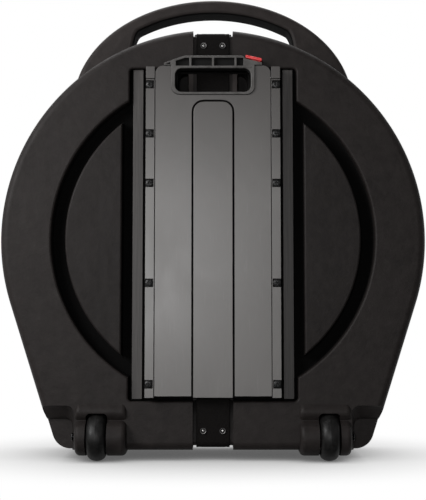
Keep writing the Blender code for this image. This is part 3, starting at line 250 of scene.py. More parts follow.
def noise_of(material, vector, scale, detail=4.0, rough=0.55, distortion=0.0):
    """Noise from 0 to 1."""
    node = add_node(material, "ShaderNodeTexNoise", Vector=vector, Scale=scale, Detail=detail)
    return fill(material.node_tree, node, Roughness=rough, Distortion=distortion).outputs["Fac"]


def ramp_of(material, value, low, high, low_out=0.0, high_out=1.0):
    """A clamped straight ramp from one range of values to another."""
    node = add_node(material, "ShaderNodeMapRange", Value=value, From_Min=low, From_Max=high)
    return fill(material.node_tree, node, To_Min=low_out, To_Max=high_out).outputs["Result"]


def blend_of(material, factor, colour_a, colour_b):
    """A colour between two; each is three numbers or a socket."""
    node = add_node(material, "ShaderNodeMix")
    node.data_type = "RGBA"
    material.node_tree.links.new(factor, node.inputs["Factor"])
    for name, colour in (("A", colour_a), ("B", colour_b)):
        socket = [s for s in node.inputs if s.name == name and s.type == "RGBA"][0]
        if isinstance(colour, tuple):
            socket.default_value = (*colour, 1)
        else:
            material.node_tree.links.new(colour, socket)
    return [s for s in node.outputs if s.type == "RGBA"][0]


def bump_of(material, height, strength, distance, onto=None):
    """Bump of a height in 0 to 1, its full height a distance in metres."""
    node = add_node(material, "ShaderNodeBump", Height=height, Strength=strength, Distance=distance)
    if onto is not None:
        material.node_tree.links.new(onto, node.inputs["Normal"])
    return node.outputs["Normal"]


def point_number(material, name):
    """The number that each point of a piece keeps under a name."""
    layer = add_node(material, "ShaderNodeAttribute")
    layer.attribute_name = name
    return layer.outputs["Fac"]


def fine_grain(material, scale, strength, rough=0.55):
    """The grain of moulded plastic, a tenth of a millimetre deep."""
    grain = noise_of(material, place_of(material), scale, 2, rough)
    look(material, Normal=bump_of(material, grain, strength, 0.0001))


def toned_down(material, colour, roughness, tone):
    """Base colour times a tone of painted shade or light, and a roughness that rises to dead matt where the
    tone falls to nothing.
    """
    toned = add_node(material, "ShaderNodeVectorMath")
    toned.operation = "SCALE"
    material.node_tree.links.new(colour, toned.inputs[0])
    fill(material.node_tree, toned, Scale=tone)
    matt = ramp_of(material, tone, 0.1, 0.9, 1.0, 0.0)
    rougher = math_node(material.node_tree, "MAXIMUM", matt, roughness)
    look(material, Base_Color=toned.outputs["Vector"], Roughness=rougher)


def shell_plastic():
    """Rotomoulded polyethylene: a fine pebbled grain, slightly cloudy colour, faint handling marks."""
    made = finish("shell_plastic", (0.022, 0.020, 0.019), 0.6, 0.0, 0.14)
    where = place_of(made)
    cloud = ramp_of(made, noise_of(made, where, 7, 3), 0.3, 0.7)
    colour = blend_of(made, cloud, (0.0100, 0.0082, 0.0078), (0.0150, 0.0125, 0.0119))
    marks = noise_of(made, place_of(made, (1, 1, 0.25)), 60, 6, 0.7, 0.6)
    colour = blend_of(made, ramp_of(made, marks, 0.62, 0.78, 0.0, 0.3), colour, (0.036, 0.032, 0.030))
    mottle = noise_of(made, where, 48, 5, 0.7)
    mottled = ramp_of(made, mottle, 0.36, 0.66, 0.0, 0.55)
    colour = blend_of(made, mottled, colour, (0.0215, 0.0180, 0.0170))
    # The points' tone is painted shade in the pockets, islands and hand slot, and painted light on the arch
    # and beside the strap.
    toned_down(made, colour, ramp_of(made, marks, 0.3, 0.8, 0.5, 0.66), point_number(made, "tone"))
    pebble = noise_of(made, where, 650, 2, 0.5)
    orange_peel = noise_of(made, where, 90, 2, 0.5)
    normal = bump_of(made, pebble, 0.5, 0.00025)
    normal = bump_of(made, orange_peel, 0.5, 0.0011, normal)
    look(made, Normal=bump_of(made, mottle, 0.35, 0.0016, normal))
    return made


def handle_plastic():
    """Satin moulded plastic with faint smudges and fine rub marks from sliding, painted darker towards the
    top and in its deep pockets as painted shade.
    """
    made = finish("handle_plastic", (0.12, 0.115, 0.11), 0.38, 0.0, 0.5)
    smudge = noise_of(made, place_of(made, (1, 1, 0.6)), 9, 4, 0.6, 0.8)
    colour = blend_of(made, ramp_of(made, smudge, 0.35, 0.7), (0.086, 0.081, 0.078), (0.114, 0.109, 0.105))
    rub = noise_of(made, place_of(made, (1, 1, 0.05)), 420, 3, 0.6)
    colour = blend_of(made, ramp_of(made, rub, 0.6, 0.8, 0.0, 0.25), colour, (0.18, 0.174, 0.169))
    # Painted shade: darker towards the top, where the light falls off.
    upwards = ramp_of(made, place_along(made, "Z"), 0.42, 0.63)
    colour = blend_of(made, upwards, colour, (0.050, 0.046, 0.044))
    # Painted shade: deep pockets behind the face fall nearly to black.
    tone = ramp_of(made, place_along(made, "Y"), -0.0977, -0.0962, 1.0, 0.06)
    toned_down(made, colour, ramp_of(made, smudge, 0.3, 0.75, 0.33, 0.45), tone)
    fine_grain(made, 900, 0.35, 0.5)
    return made


def grained(name, base, grain, tints, gloss=None, relief=None, hollows=None, stretch=(1, 1, 1)):
    """A finish whose colour, roughness and relief follow one noise, and which is painted darker in its
    hollows, as painted shade.

    base is what finish takes and grain what noise_of takes. tints is the noise's range and the colour at
    each end, gloss the range and the roughness at each end, and relief the bump's strength and depth.
    hollows is a range of depths behind the face and the tone of painted shade at each end.
    """
    made = finish(name, *base)
    noise = noise_of(made, place_of(made, stretch), *grain)
    colour = blend_of(made, ramp_of(made, noise, *tints[:2]), *tints[2:])
    if hollows is not None:
        shine = ramp_of(made, noise, *gloss)
        toned_down(made, colour, shine, ramp_of(made, place_along(made, "Y"), *hollows))
        return made
    look(made, Base_Color=colour)
    if gloss is not None:
        look(made, Roughness=ramp_of(made, noise, *gloss))
    if relief is not None:
        look(made, Normal=bump_of(made, noise, *relief))
    return made


def black_plastic():
    """Black moulded plastic with a fine grain, paler where hands wear it."""
    tints = (0.45, 0.75, (0.024, 0.024, 0.024), (0.048, 0.047, 0.046))
    first = ((0.03, 0.03, 0.03), 0.42, 0.0, 0.3)
    made = grained("black_plastic", first, (40, 5, 0.65), tints, (0.35, 0.7, 0.36, 0.5))
    fine_grain(made, 1000, 0.3)
    return made


def red_plastic():
    """Bright red plastic, slightly glossy."""
    tints = (0.3, 0.7, (0.50, 0.028, 0.030), (0.62, 0.05, 0.05))
    return grained("red_plastic", ((0.55, 0.035, 0.035), 0.3), (120, 3), tints, (0.3, 0.7, 0.26, 0.36))


def tyre_rubber():
    """Matt rubber, dusty in its fine pores."""
    base = ((0.011, 0.011, 0.011), 0.62, 0.0, 0.25)
    tints = (0.45, 0.8, (0.0045, 0.0043, 0.0042), (0.012, 0.0115, 0.011))
    return grained("tyre_rubber", base, (160, 5, 0.7), tints, (0.3, 0.8, 0.38, 0.6), (0.3, 0.0002))


def zinc_steel():
    """Zinc-plated steel with soft brushed marks."""
    tints = (0.3, 0.7, (0.50, 0.50, 0.51), (0.68, 0.68, 0.69))
    gloss = (0.3, 0.7, 0.24, 0.4)
    return grained("zinc_steel", ((0.6, 0.6, 0.61), 0.3, 1.0), (500, 3), tints, gloss, stretch=(1, 1, 0.2))


def black_steel():
    """Blackened axles and screws, a little bright where they are rubbed."""
    tints = (0.5, 0.75, (0.03, 0.03, 0.032), (0.16, 0.16, 0.16))
    return grained("black_steel", ((0.04, 0.04, 0.042), 0.35, 1.0), (400, 4), tints, (0.3, 0.7, 0.28, 0.45))


def black_screw():
    """A blackened screw head, bare metal showing a little on its crown."""
    tints = (0.5, 0.8, (0.012, 0.012, 0.012), (0.10, 0.10, 0.10))
    return grained("black_screw", ((0.02, 0.02, 0.02), 0.4, 0.6, 0.4), (700, 4), tints, (0.3, 0.7, 0.3, 0.5))


def felt_wool():
    """Pressed grey felt with loose fibres."""
    tints = (0.35, 0.7, (0.05, 0.05, 0.053), (0.13, 0.13, 0.135))
    return grained("felt_wool", ((0.08, 0.08, 0.085), 0.95), (500, 8, 0.75, 1.5), tints, relief=(0.9, 0.0006))


def knit_foam():
    """Charcoal foam under a knitted face."""
    tints = (0.35, 0.7, (0.030, 0.030, 0.032), (0.075, 0.075, 0.078))
    return grained("knit_foam", ((0.05, 0.05, 0.052), 0.9), (700, 6, 0.7), tints, relief=(0.8, 0.0005))


def webbing_weave():
    """Black webbing, woven in narrow ribs across its width."""
    base = ((0.006, 0.0055, 0.0052), 0.85, 0.0, 0.06)
    tints = (0.35, 0.7, (0.0035, 0.0030, 0.0029), (0.0085, 0.0076, 0.0072))
    return grained("webbing_weave", base, (900, 3), tints, relief=(0.7, 0.0004), stretch=(0.4, 1, 1))


def grip_plastic():
    """Grey-black grip plastic, satin, with paler edges where fingers pass; its cells are painted darker, as
    painted shade.
    """
    base = ((0.06, 0.057, 0.055), 0.42, 0.0, 0.35)
    tints = (0.4, 0.75, (0.050, 0.047, 0.045), (0.085, 0.081, 0.078))
    # Painted shade in the cells behind the face.
    hollows = (-0.1003, -0.0990, 1.0, 0.05)
    made = grained("grip_plastic", base, (70, 5, 0.65), tints, (0.35, 0.7, 0.36, 0.5), hollows=hollows)
    fine_grain(made, 900, 0.3)
    return made


def tray_plastic():
    """The tray's darker moulded plastic, dull, with light scratches up and down, and painted shade on its
    deep floor.
    """
    base = ((0.045, 0.042, 0.040), 0.5, 0.0, 0.25)
    tints = (0.4, 0.8, (0.036, 0.033, 0.032), (0.070, 0.066, 0.063))
    gloss = (0.3, 0.8, 0.42, 0.58)
    # Painted shade on the tray's deep floor.
    hollows = (-0.0745, -0.0725, 1.0, 0.08)
    made = grained("tray_plastic", base, (300, 4, 0.65), tints, gloss, hollows=hollows, stretch=(1, 1, 0.04))
    fine_grain(made, 900, 0.35)
    return made


def rivet_steel():
    """Rivets: black paint that is rubbed through to steel where the point's wear is high."""
    made = finish("rivet_steel", (0.3, 0.3, 0.3), 0.35, 0.8, 0.5)
    grain = ramp_of(made, noise_of(made, place_of(made), 900, 3), 0.3, 0.6, 0.7, 1.0)
    rubbed = math_node(made.node_tree, "MULTIPLY", point_number(made, "worn_and_lit"), grain)
    look(made, Base_Color=blend_of(made, rubbed, (0.010, 0.009, 0.009), (0.55, 0.54, 0.53)))
    look(made, Roughness=ramp_of(made, rubbed, 0.0, 1.0, 0.5, 0.3))
    return made


def dress_nodes(finishes):
    """Each CAD node's finish, from the record's material slots."""
    for name, node in frame["nodes"].items():
        node.data.materials.clear()
        node.data.materials.append(finishes[slots[name]])
        node.data.shade_smooth()
        node.data.set_sharp_from_angle(angle=math.radians(32))


# Sizes that the shells share with the solids, in metres
SEAM = 0.0165
BACK_FACE = -0.0835
FRONT_FACE = 0.1015
POCKET_FLOOR = -0.0615
BODY_RADIUS = 0.345
BODY_MIDDLE = 0.357
BODY_TOP = BODY_MIDDLE + BODY_RADIUS
FLANK = math.radians(17.85)
BASE = 0.017
CORNER = 0.030
EDGE = 0.014
WALL = 0.005
SEAM_GAP = 0.0003
GROOVE_OUTER = 0.261
GROOVE_INNER = 0.2405
GROOVE_STEPS = 200
STRAP_WAY = 0.0325
STRAP_SINK = 0.0085
STRAP_BASE = 0.006
STRAP_DEEP = 0.003
AXLE_Y = -0.0735
WHEEL_X = 0.1855
WHEEL_RADIUS = 0.038
HOOD_TOP = 0.0925
POD_BACK = -0.0555
ARCH_HALF = 0.2437
ARCH_MIDDLE = 0.599
ARCH_RISE = 0.1846
ARCH_BAND = 0.024
ARCH_DEPTH = 0.050
ARCH_SOFT = 0.009
SLOT_HALF = 0.140
SLOT_END = 0.012
RECESS_TOP = 0.638
RECESS_LOW = 0.095
STRAP_HALF = 0.027
STRAP_THICK = 0.0025
STRAP_LIFT = 0.00155
GRIP_TOP = 0.6518
GRIP_TIP = 0.6399
GRIP_TIP_X = 0.0794
GRIP_FLAT = 0.0457
GRIP_HALF = 0.0675
GRIP_FACE = -0.1011
GRIP_BACK = -0.0841
GRIP_HEIGHT = 0.0635
GRIP_CORNER = 0.013
HOLE_HALF = 0.0613
RIB_HALF = 0.00175
CELL_DROP = 0.0038
CELL_HEIGHT = 0.0128
BEAD_PITCH = 0.0179
LEVER_PIVOT = (0.0615, 0.6394)
LEVER_ROOM = (-0.0931, -0.0851)
POST_HOLE = 0.0066

# Which way each half points from the seam, and its depth
BACK_HALF = (-1, 0.100)
FRONT_HALF = (1, 0.085)

# Edges past these angles stay sharp, on moulded pieces and on straps and turned ones
SHARP = math.radians(34)
ROUND_SHARP = math.radians(50)


# Outlines and closed solids
def round_arc(middle, radius, start, end, count):
    """Points (a, b) on a round arc, its angles in degrees."""
    turn = np.radians(np.linspace(start, end, count))
    return np.stack([middle[0] + radius * np.cos(turn), middle[1] + radius * np.sin(turn)], axis=-1)


def rounded_box(low, high, corner, growth, steps=8):
    """Rows of points round a rectangle with round corners, each row grown outwards by its own amount.

    The corners' middles stay where they are, and growth is added to their radius.
    """
    corner = np.broadcast_to(np.asarray(corner, float), (4,))
    middle = np.array([
        (high[0] - corner[0], high[1] - corner[0]),
        (low[0] + corner[1], high[1] - corner[1]),
        (low[0] + corner[2], low[1] + corner[2]),
        (high[0] - corner[3], low[1] + corner[3]),
    ])
    turn = np.radians(np.linspace(0, 90, steps)[None, :] + 90 * np.arange(4)[:, None])
    ray = np.stack([np.cos(turn), np.sin(turn)], axis=-1).reshape(-1, 2)
    reach = np.repeat(corner, steps) + np.atleast_1d(growth)[:, None]
    return np.repeat(middle, steps, axis=0) + reach[..., None] * ray


def case_outline(inset, steps=170):
    """Points (x, z) round the case, moved inwards: a circle, straight flanks, round corners, a flat base."""
    slope = math.degrees(FLANK)
    corner_z = BASE + CORNER
    reach = BODY_RADIUS - BODY_MIDDLE * math.sin(FLANK)
    corner_x = (reach - CORNER + corner_z * math.sin(FLANK)) / math.cos(FLANK)
    return np.vstack([
        round_arc((0, BODY_MIDDLE), BODY_RADIUS - inset, -slope, 180 + slope, steps),
        round_arc((-corner_x, corner_z), CORNER - inset, 180 + slope, 270, 12),
        round_arc((corner_x, corner_z), CORNER - inset, -90, -slope, 12),
    ])


def at_depths(outlines, depths):
    """Rows of (x, z) points, each row put at its own y."""
    outlines = np.asarray(outlines)
    y = np.broadcast_to(np.asarray(depths)[:, None], outlines.shape[:2])
    return np.stack([outlines[..., 0], y, outlines[..., 1]], axis=-1)


def solid(name, rows, material=None, ring=False):
    """A closed solid: rows of points round it, joined row to row, with flat ends or closed into a ring."""
    count, columns = rows.shape[:2]
    faces = grid_faces(count, columns, ring, True)
    if not ring:
        faces += [list(range(columns)), list(range((count - 1) * columns, count * columns))]
    piece = mesh_piece(name, rows, faces, material)
    tidy = bmesh.new()
    tidy.from_mesh(piece.data)
    bmesh.ops.recalc_face_normals(tidy, faces=tidy.faces)
    tidy.to_mesh(piece.data)
    tidy.free()
    return piece


def turned(name, profile, middle, axis="Y", steps=64, material=None):
    """A closed profile of (radius, distance) points turned about an axis along Y or X."""
    turn = np.linspace(0, 2 * np.pi, steps, endpoint=False)[:, None]
    radius, along = np.asarray(profile, float).T
    a = middle[0] + radius * np.cos(turn)
    b = middle[1] + radius * np.sin(turn)
    along = np.broadcast_to(along, a.shape)
    points = np.stack([a, along, b] if axis == "Y" else [along, a, b], axis=-1)
    return solid(name, points, material, True)


def shape_with(piece, tools, operation="DIFFERENCE"):
    """Cuts or joins the tools one after another, exactly, and keeps only the result."""
    for tool in tools:
        step = piece.modifiers.new(tool.name, "BOOLEAN")
        step.operation = operation
        step.solver = "EXACT"
        step.object = tool
    settle(piece)
    for tool in tools:
        bpy.data.objects.remove(tool, do_unlink=True)


def settle(piece):
    """Applies a piece's modifiers to its mesh."""
    graph = bpy.context.evaluated_depsgraph_get()
    done = bpy.data.meshes.new_from_object(piece.evaluated_get(graph))
    piece.modifiers.clear()
    piece.data = done


def quarter(radius, steps, start=90):
    """A quarter round in even turns: how far it still has to go along its axis, and its inset."""
    turn = np.radians(np.linspace(start, 0, steps))
    return radius * (1 - np.sin(turn)), radius * (1 - np.cos(turn))


def keep_number(piece, name, values):
    """Keeps a number for each point of a piece, which its finish reads."""
    layer = piece.data.attributes.new(name, "FLOAT", "POINT")
    layer.data.foreach_set("value", np.asarray(values, np.float32).ravel())


def keep_tone(piece, tone):
    """Keeps tone(x, y, z) for each point of a shell, by which its finish is darkened or lightened as painted
    shade and light.
    """
    places = np.empty(len(piece.data.vertices) * 3)
    piece.data.vertices.foreach_get("co", places)
    keep_number(piece, "tone", tone(*places.reshape(-1, 3).T))


def back_tone(x, y, z):
    """Pockets are painted darker than the face, and the islands and the deep finger pockets too, as painted
    shade; the strips beside the strap are painted lighter, as painted light.
    """
    reach = np.hypot(x, z - BODY_MIDDLE)
    side = np.abs(x)
    # Painted shade: the pocket floors and walls fall nearly to black.
    pocketed = y < POCKET_FLOOR + 0.001
    sunk = np.clip((y - BACK_FACE - 0.003) / 0.006, 0, 1) * pocketed
    tall = (side < 0.1365) & (z > RECESS_LOW - 0.001) & (z < RECESS_TOP + 0.001)
    inside = (reach < GROOVE_OUTER + 0.0022) | tall
    tone = 1 - 0.95 * sunk * inside
    # Painted shade: the islands are darker, where the light falls off towards the middle.
    island = (reach < GROOVE_INNER) & (side > 0.146)
    tone = np.where(island, tone * 0.82, tone)
    from_fingers = np.abs(z - 0.612)
    # Painted shade in the deep finger pockets.
    deep = (side < 0.060) & (from_fingers < 0.024) & ~pocketed
    tone = np.where(deep & (y < SEAM - 0.02), 0.35, tone)
    # Painted light: the strips beside the strap are lighter, a painted highlight.
    worn_and_lit = (side < 0.041) & (side > 0.031) & (from_fingers < 0.021) & (y > POCKET_FLOOR - 0.002)
    return np.where(worn_and_lit & pocketed, 2.2, tone)


def front_tone(x, y, z):
    """The inside of the hand slot is painted dark, as painted shade, and the arch is painted a little lighter
    than the body, as painted light.
    """
    wide = x / (ARCH_HALF - ARCH_BAND + 0.004)
    high = (z - ARCH_MIDDLE) / (ARCH_RISE - ARCH_BAND + 0.004)
    slot = (wide**2 + high**2 < 1) & (np.abs(x) < SLOT_HALF + 0.004) & (z > 0.66)
    slot = slot & (y > SEAM + 0.0035) & (y < SEAM + ARCH_DEPTH - 0.003)
    arch = np.hypot(x, z - BODY_MIDDLE) > BODY_RADIUS + 0.001
    # Painted shade inside the slot, painted light on the arch.
    return np.where(slot, 0.04, np.where(arch, 1.5, 1.0))


def smooth_skin(piece, material):
    """Smooth shading that flat faces keep flat, with sharp edges past an angle."""
    mesh = piece.data
    tidy = bmesh.new()
    tidy.from_mesh(mesh)
    bmesh.ops.remove_doubles(tidy, verts=tidy.verts, dist=2e-6)
    bmesh.ops.dissolve_degenerate(tidy, edges=tidy.edges, dist=1e-6)
    tidy.to_mesh(mesh)
    tidy.free()
    mesh.materials.clear()
    mesh.materials.append(material)
    mesh.polygons.foreach_set("material_index", np.zeros(len(mesh.polygons), int))
    mesh.shade_smooth()
    mesh.set_sharp_from_angle(angle=SHARP)
    even = piece.modifiers.new("even_shading", "WEIGHTED_NORMAL")
    even.keep_sharp = True


def wall_rows(face, floor, lip, fillet, past=0.02, steps=6):
    """Rows (y, growth) down a pocket's wall, from outside the face to the floor.

    The mouth flares in a quarter round of radius lip, and the foot closes in with one of radius fillet.
    """
    depth = abs(floor - face)
    mouth = np.stack(quarter(lip, steps, 80), axis=-1)
    foot = np.radians(np.linspace(0, 90, steps))
    foot = np.stack([depth - fillet * (1 - np.sin(foot)), fillet * (np.cos(foot) - 1)], axis=-1)
    rows = np.vstack([[(-past, mouth[0, 1])], mouth, foot])
    fresh = np.r_[True, np.abs(np.diff(rows, axis=0)).sum(axis=1) > 1e-7]
    rows = rows[fresh]
    return np.stack([face + math.copysign(1, floor - face) * rows[:, 0], rows[:, 1]], axis=-1)


def pocket(name, low, high, corner, rows):
    """A cutter for a pocket with a rounded outline, given by its low and high (x, z) corners."""
    return solid(name, at_depths(rounded_box(low, high, corner, rows[:, 1]), rows[:, 0]))


def ring_pocket(name, inner, outer, rows, steps=GROOVE_STEPS):
    """A cutter for a round groove: its outer wall grows outwards, and its inner wall inwards."""
    wall = np.stack([outer + rows[:, 1], rows[:, 0]], axis=-1)
    back = np.stack([inner - rows[::-1, 1], rows[::-1, 0]], axis=-1)
    return turned(name, np.vstack([wall, back]), (0, BODY_MIDDLE), "Y", steps)


def box_piece(name, low, high):
    """A plain box cutter."""
    outline = np.array([(low[0], low[2]), (high[0], low[2]), (high[0], high[2]), (low[0], high[2])])
    return solid(name, at_depths([outline, outline], (low[1], high[1])))


def body_half(name, outward, depth, inset, start):
    """One half of the case, from the seam to its face, where the rim turns over in a quarter round."""
    turn = np.linspace(0, np.pi / 2, 9)
    small = EDGE - inset
    along = np.r_[start, depth - inset - small * (1 - np.sin(turn))]
    inward = np.r_[inset, inset + small * (1 - np.cos(turn))]
    outlines = [case_outline(value) for value in inward]
    return solid(name, at_depths(outlines, SEAM + outward * along))


def strap_ways(name, outward, depth, grow=0.0):
    """Cutters for the strap's two channels: over the top of the rim, and up from the base."""
    half = STRAP_WAY + grow
    sink = STRAP_SINK + grow
    reach = 0.060 + grow
    y = sorted((SEAM - outward * 0.02, SEAM + outward * (depth + 0.02)))
    upper = box_piece(name + "_upper", (-half, y[0], BODY_TOP - 0.028 - reach), (half, y[1], BODY_TOP + 0.02))
    lower = box_piece(name + "_lower", (-half, y[0], BASE - 0.02), (half, y[1], BASE + 0.031 + reach))
    shape_with(upper, [body_half(name + "_core", outward, depth, sink, -0.04)])
    keep = sorted((SEAM - outward * 0.04, SEAM + outward * (depth - EDGE - sink)))
    floor_low = (-BODY_RADIUS, keep[0], BASE + STRAP_BASE + grow)
    floor = box_piece(name + "_floor", floor_low, (BODY_RADIUS, keep[1], BASE + 2 * sink))
    shape_with(lower, [body_half(name + "_core", outward, depth, sink, -0.04), floor])
    return [upper, lower]


def handle_pocket(name, grow, lip, fillet):
    """Cutters for the handle's recess, the wide part between the islands, and the round groove."""
    rows = wall_rows(BACK_FACE, POCKET_FLOOR + grow, lip, fillet)
    rows[:, 1] += grow
    groove = rows.copy()
    groove[:, 1] += np.interp(np.abs(rows[:, 0] - POCKET_FLOOR - grow), (0, 0.022), (0, 0.0014)) * (lip > 0)
    half, wide = 0.136, 0.1475
    reach = math.sqrt(GROOVE_INNER**2 - wide**2) + (GROOVE_OUTER - GROOVE_INNER) / 2
    return [
        pocket(name + "_tall", (-half, RECESS_LOW), (half, RECESS_TOP - 0.0028), 0.006, rows),
        pocket(name + "_wide", (-wide, BODY_MIDDLE - reach), (wide, BODY_MIDDLE + reach), 0.004, rows),
        ring_pocket(name + "_ring", GROOVE_INNER, GROOVE_OUTER, groove),
    ]


def finger_pocket(name, side, grow, fillet=0.0):
    """The cutter for a deep pocket beside the strap, its outer upper corner well rounded."""
    x = sorted((side * (0.0405 - grow), side * (0.0575 + grow)))
    corner = [0.003 + grow] * 4
    corner[0 if side > 0 else 1] = 0.013
    rows = wall_rows(POCKET_FLOOR, POCKET_FLOOR + 0.015 + grow, 0.0015 * (fillet > 0), fillet, 0.04, 4)
    return pocket(name, (x[0], 0.5923 - grow), (x[1], 0.6310 + grow), corner, rows)


def corner_cut(name, side, grow):
    """The cutter for the lower corner beside the wheel: it stands back from the face, under a slope."""
    share = np.linspace(0, 1, 9)
    depth = np.r_[-0.02, 0.030 * share + grow * (share > 0.99)]
    fall = np.r_[0, 0.5 - 0.5 * np.cos(np.pi * share)]
    top = 0.0885 + grow - 0.024 * fall
    inner = 0.222 - grow + 0.006 * fall
    corner = [0.009, 0.012, 0.009, 0.009]
    rows = np.array([rounded_box((0, -0.06), (0.42 - x, z), corner, 0)[0] for x, z in zip(inner, top)])
    rows[..., 0] = side * (rows[..., 0] + inner[:, None])
    return solid(name, at_depths(rows, BACK_FACE + depth))


def wheel_room(name, side, grow):
    """The round cutter that the wheel turns in; its rim turns over in a quarter round at both sides."""
    step, inset = quarter(0.007, 6)
    x = 0.017 + grow - step
    radius = 0.042 + grow - inset
    x = np.r_[-x, x[::-1]]
    radius = np.r_[radius, radius[::-1]][:, None]
    turn = np.linspace(0, 2 * np.pi, 72, endpoint=False)
    y = AXLE_Y + radius * np.cos(turn)
    z = WHEEL_RADIUS + radius * np.sin(turn)
    x = side * WHEEL_X + np.broadcast_to(x[:, None], y.shape)
    return solid(name, np.stack([x, y, z], axis=-1))


def wheel_pod(name, side, grow=0.0, soft=0.008):
    """The barrel round an axle, hooded above: its section shrinks in a quarter round at both ends.

    The section is a hood that swells from the face, a shallow valley, and the barrel round the axle.
    """
    x = np.sort(side * np.array([0.138 - grow, 0.220 + grow]))
    step, inset = quarter(soft, 7, 80)
    x = np.r_[x[0] + step, x[1] - step[::-1]]
    inset = np.r_[inset, inset[::-1]] - grow
    along = np.linspace(0, 1, 15)
    hood_z = HOOD_TOP - 0.0275 * along
    hood_y = BACK_FACE + 0.002 - 0.0080 * np.sin(np.pi * along) - 0.0015 * along
    barrel = round_arc((AXLE_Y, WHEEL_RADIUS), 0.0295, 138, 270, 25)
    hood_line = np.stack([hood_y, hood_z], axis=-1)
    section = np.vstack([hood_line, barrel, [(POD_BACK, 0.0085), (POD_BACK, HOOD_TOP)]])
    middle = np.array([POD_BACK, 0.045])
    lean = section - middle
    length = np.linalg.norm(lean, axis=1, keepdims=True)
    rows = middle + lean * (1 - inset[:, None, None] / length)
    rows[..., 0] = np.minimum(rows[..., 0], POD_BACK)
    rows = np.concatenate([np.broadcast_to(x[:, None, None], (*rows.shape[:2], 1)), rows], axis=-1)
    return solid(name, rows)


def fine_back_shell(material):
    """The back half: rim, pockets, channels, pods and wheel rooms, hollow with an even wall."""
    shell = body_half("back_case", *BACK_HALF, 0.0, SEAM_GAP)
    inside = body_half("cut_inside", *BACK_HALF, WALL, -0.02)
    sides = ((-1, "left"), (1, "right"))
    shape_with(shell, [wheel_pod("add_pod_" + word, side) for side, word in sides], "UNION")
    tools = handle_pocket("cut", 0.0, 0.0035, 0.003) + strap_ways("cut_way", *BACK_HALF)
    floor_high = (STRAP_WAY, POCKET_FLOOR + STRAP_DEEP, RECESS_TOP)
    tools.append(box_piece("cut_floor_way", (-STRAP_WAY, -0.10, RECESS_LOW), floor_high))
    walls = handle_pocket("wall", WALL, 0.0, 0.005) + strap_ways("wall_way", *BACK_HALF, WALL)
    for side, word in sides:
        tools.append(finger_pocket("cut_finger_" + word, side, 0.0, 0.002))
        walls.append(finger_pocket("wall_finger_" + word, side, WALL))
        walls.append(corner_cut("wall_corner_" + word, side, WALL))
        walls.append(wheel_pod("wall_pod_" + word, side, WALL, 0.002))
        walls.append(wheel_room("wall_wheel_" + word, side, WALL))
        tools.append(corner_cut("cut_corner_" + word, side, 0.0))
        tools.append(wheel_room("cut_wheel_" + word, side, 0.0))
    shape_with(inside, walls)
    shape_with(shell, tools + [inside])
    smooth_skin(shell, material)
    keep_tone(shell, back_tone)
    stand_in(shell, "case", "back_shell")


def arch_rows():
    """Rows round the carry arch: a half ellipse on a straight foot, its front and back edges well rounded."""
    step, inset = quarter(ARCH_SOFT, 8)
    inset = np.r_[inset, inset[::-1]][:, None]
    along = step + SEAM_GAP
    along = np.r_[along, ARCH_DEPTH - along[::-1] + SEAM_GAP]
    sweep = np.linspace(0, np.pi, 120)
    x = (ARCH_HALF - inset) * np.cos(sweep)
    z = ARCH_MIDDLE + (ARCH_RISE - inset) * np.sin(sweep)
    foot = np.full_like(inset, ARCH_MIDDLE - ARCH_BAND)
    x = np.hstack([ARCH_HALF - inset, x, inset - ARCH_HALF])
    z = np.hstack([foot, z, foot])
    return at_depths(np.stack([x, z], axis=-1), SEAM + along)


def slot_rows():
    """Rows round the hand slot: between an ellipse above and the body's circle below, with round ends.

    The upper edge flares in a quarter round towards both sides of the arch, and the ends follow it.
    """
    rows = wall_rows(SEAM + SEAM_GAP, SEAM + ARCH_DEPTH / 2, 0.007, 0.0)
    back = rows[::-1].copy()
    back[:, 0] = 2 * SEAM + SEAM_GAP + ARCH_DEPTH - back[:, 0]
    rows = np.vstack([rows, back[1:]])
    growth = rows[:, 1:]
    reach = SLOT_HALF + growth
    x = reach * np.sin(np.linspace(-np.pi / 2, np.pi / 2, 90))
    across = x / (ARCH_HALF - ARCH_BAND + growth)
    top = ARCH_MIDDLE + (ARCH_RISE - ARCH_BAND + growth) * np.sqrt(1 - across**2)
    low = BODY_MIDDLE + np.sqrt((BODY_RADIUS + 0.0015) ** 2 - x**2)
    near_end = np.clip((np.abs(x) - (reach - SLOT_END)) / SLOT_END, 0, 1)
    middle = low + (top - low) * 0.35
    full = np.sqrt(1 - near_end**2)
    top = middle + (top - middle) * full
    low = middle - (middle - low) * full
    outline_x = np.hstack([x, x[:, -2:0:-1]])
    outline_z = np.hstack([top, low[:, -2:0:-1]])
    return at_depths(np.stack([outline_x, outline_z], axis=-1), rows[:, 0])


def front_dome():
    """The low dome inside the front groove: a quarter ellipse turned about the body's middle."""
    turn = np.radians(np.linspace(0, 88, 22))
    radius = (GROOVE_INNER - WALL) * np.cos(turn)
    radius = np.r_[radius[0], radius][:, None]
    y = np.r_[FRONT_FACE - WALL / 2, FRONT_FACE + 0.0098 * np.sin(turn)]
    around = np.linspace(0, 2 * np.pi, 160, endpoint=False)
    outlines = np.stack([radius * np.cos(around), BODY_MIDDLE + radius * np.sin(around)], axis=-1)
    return solid("add_dome", at_depths(outlines, y))


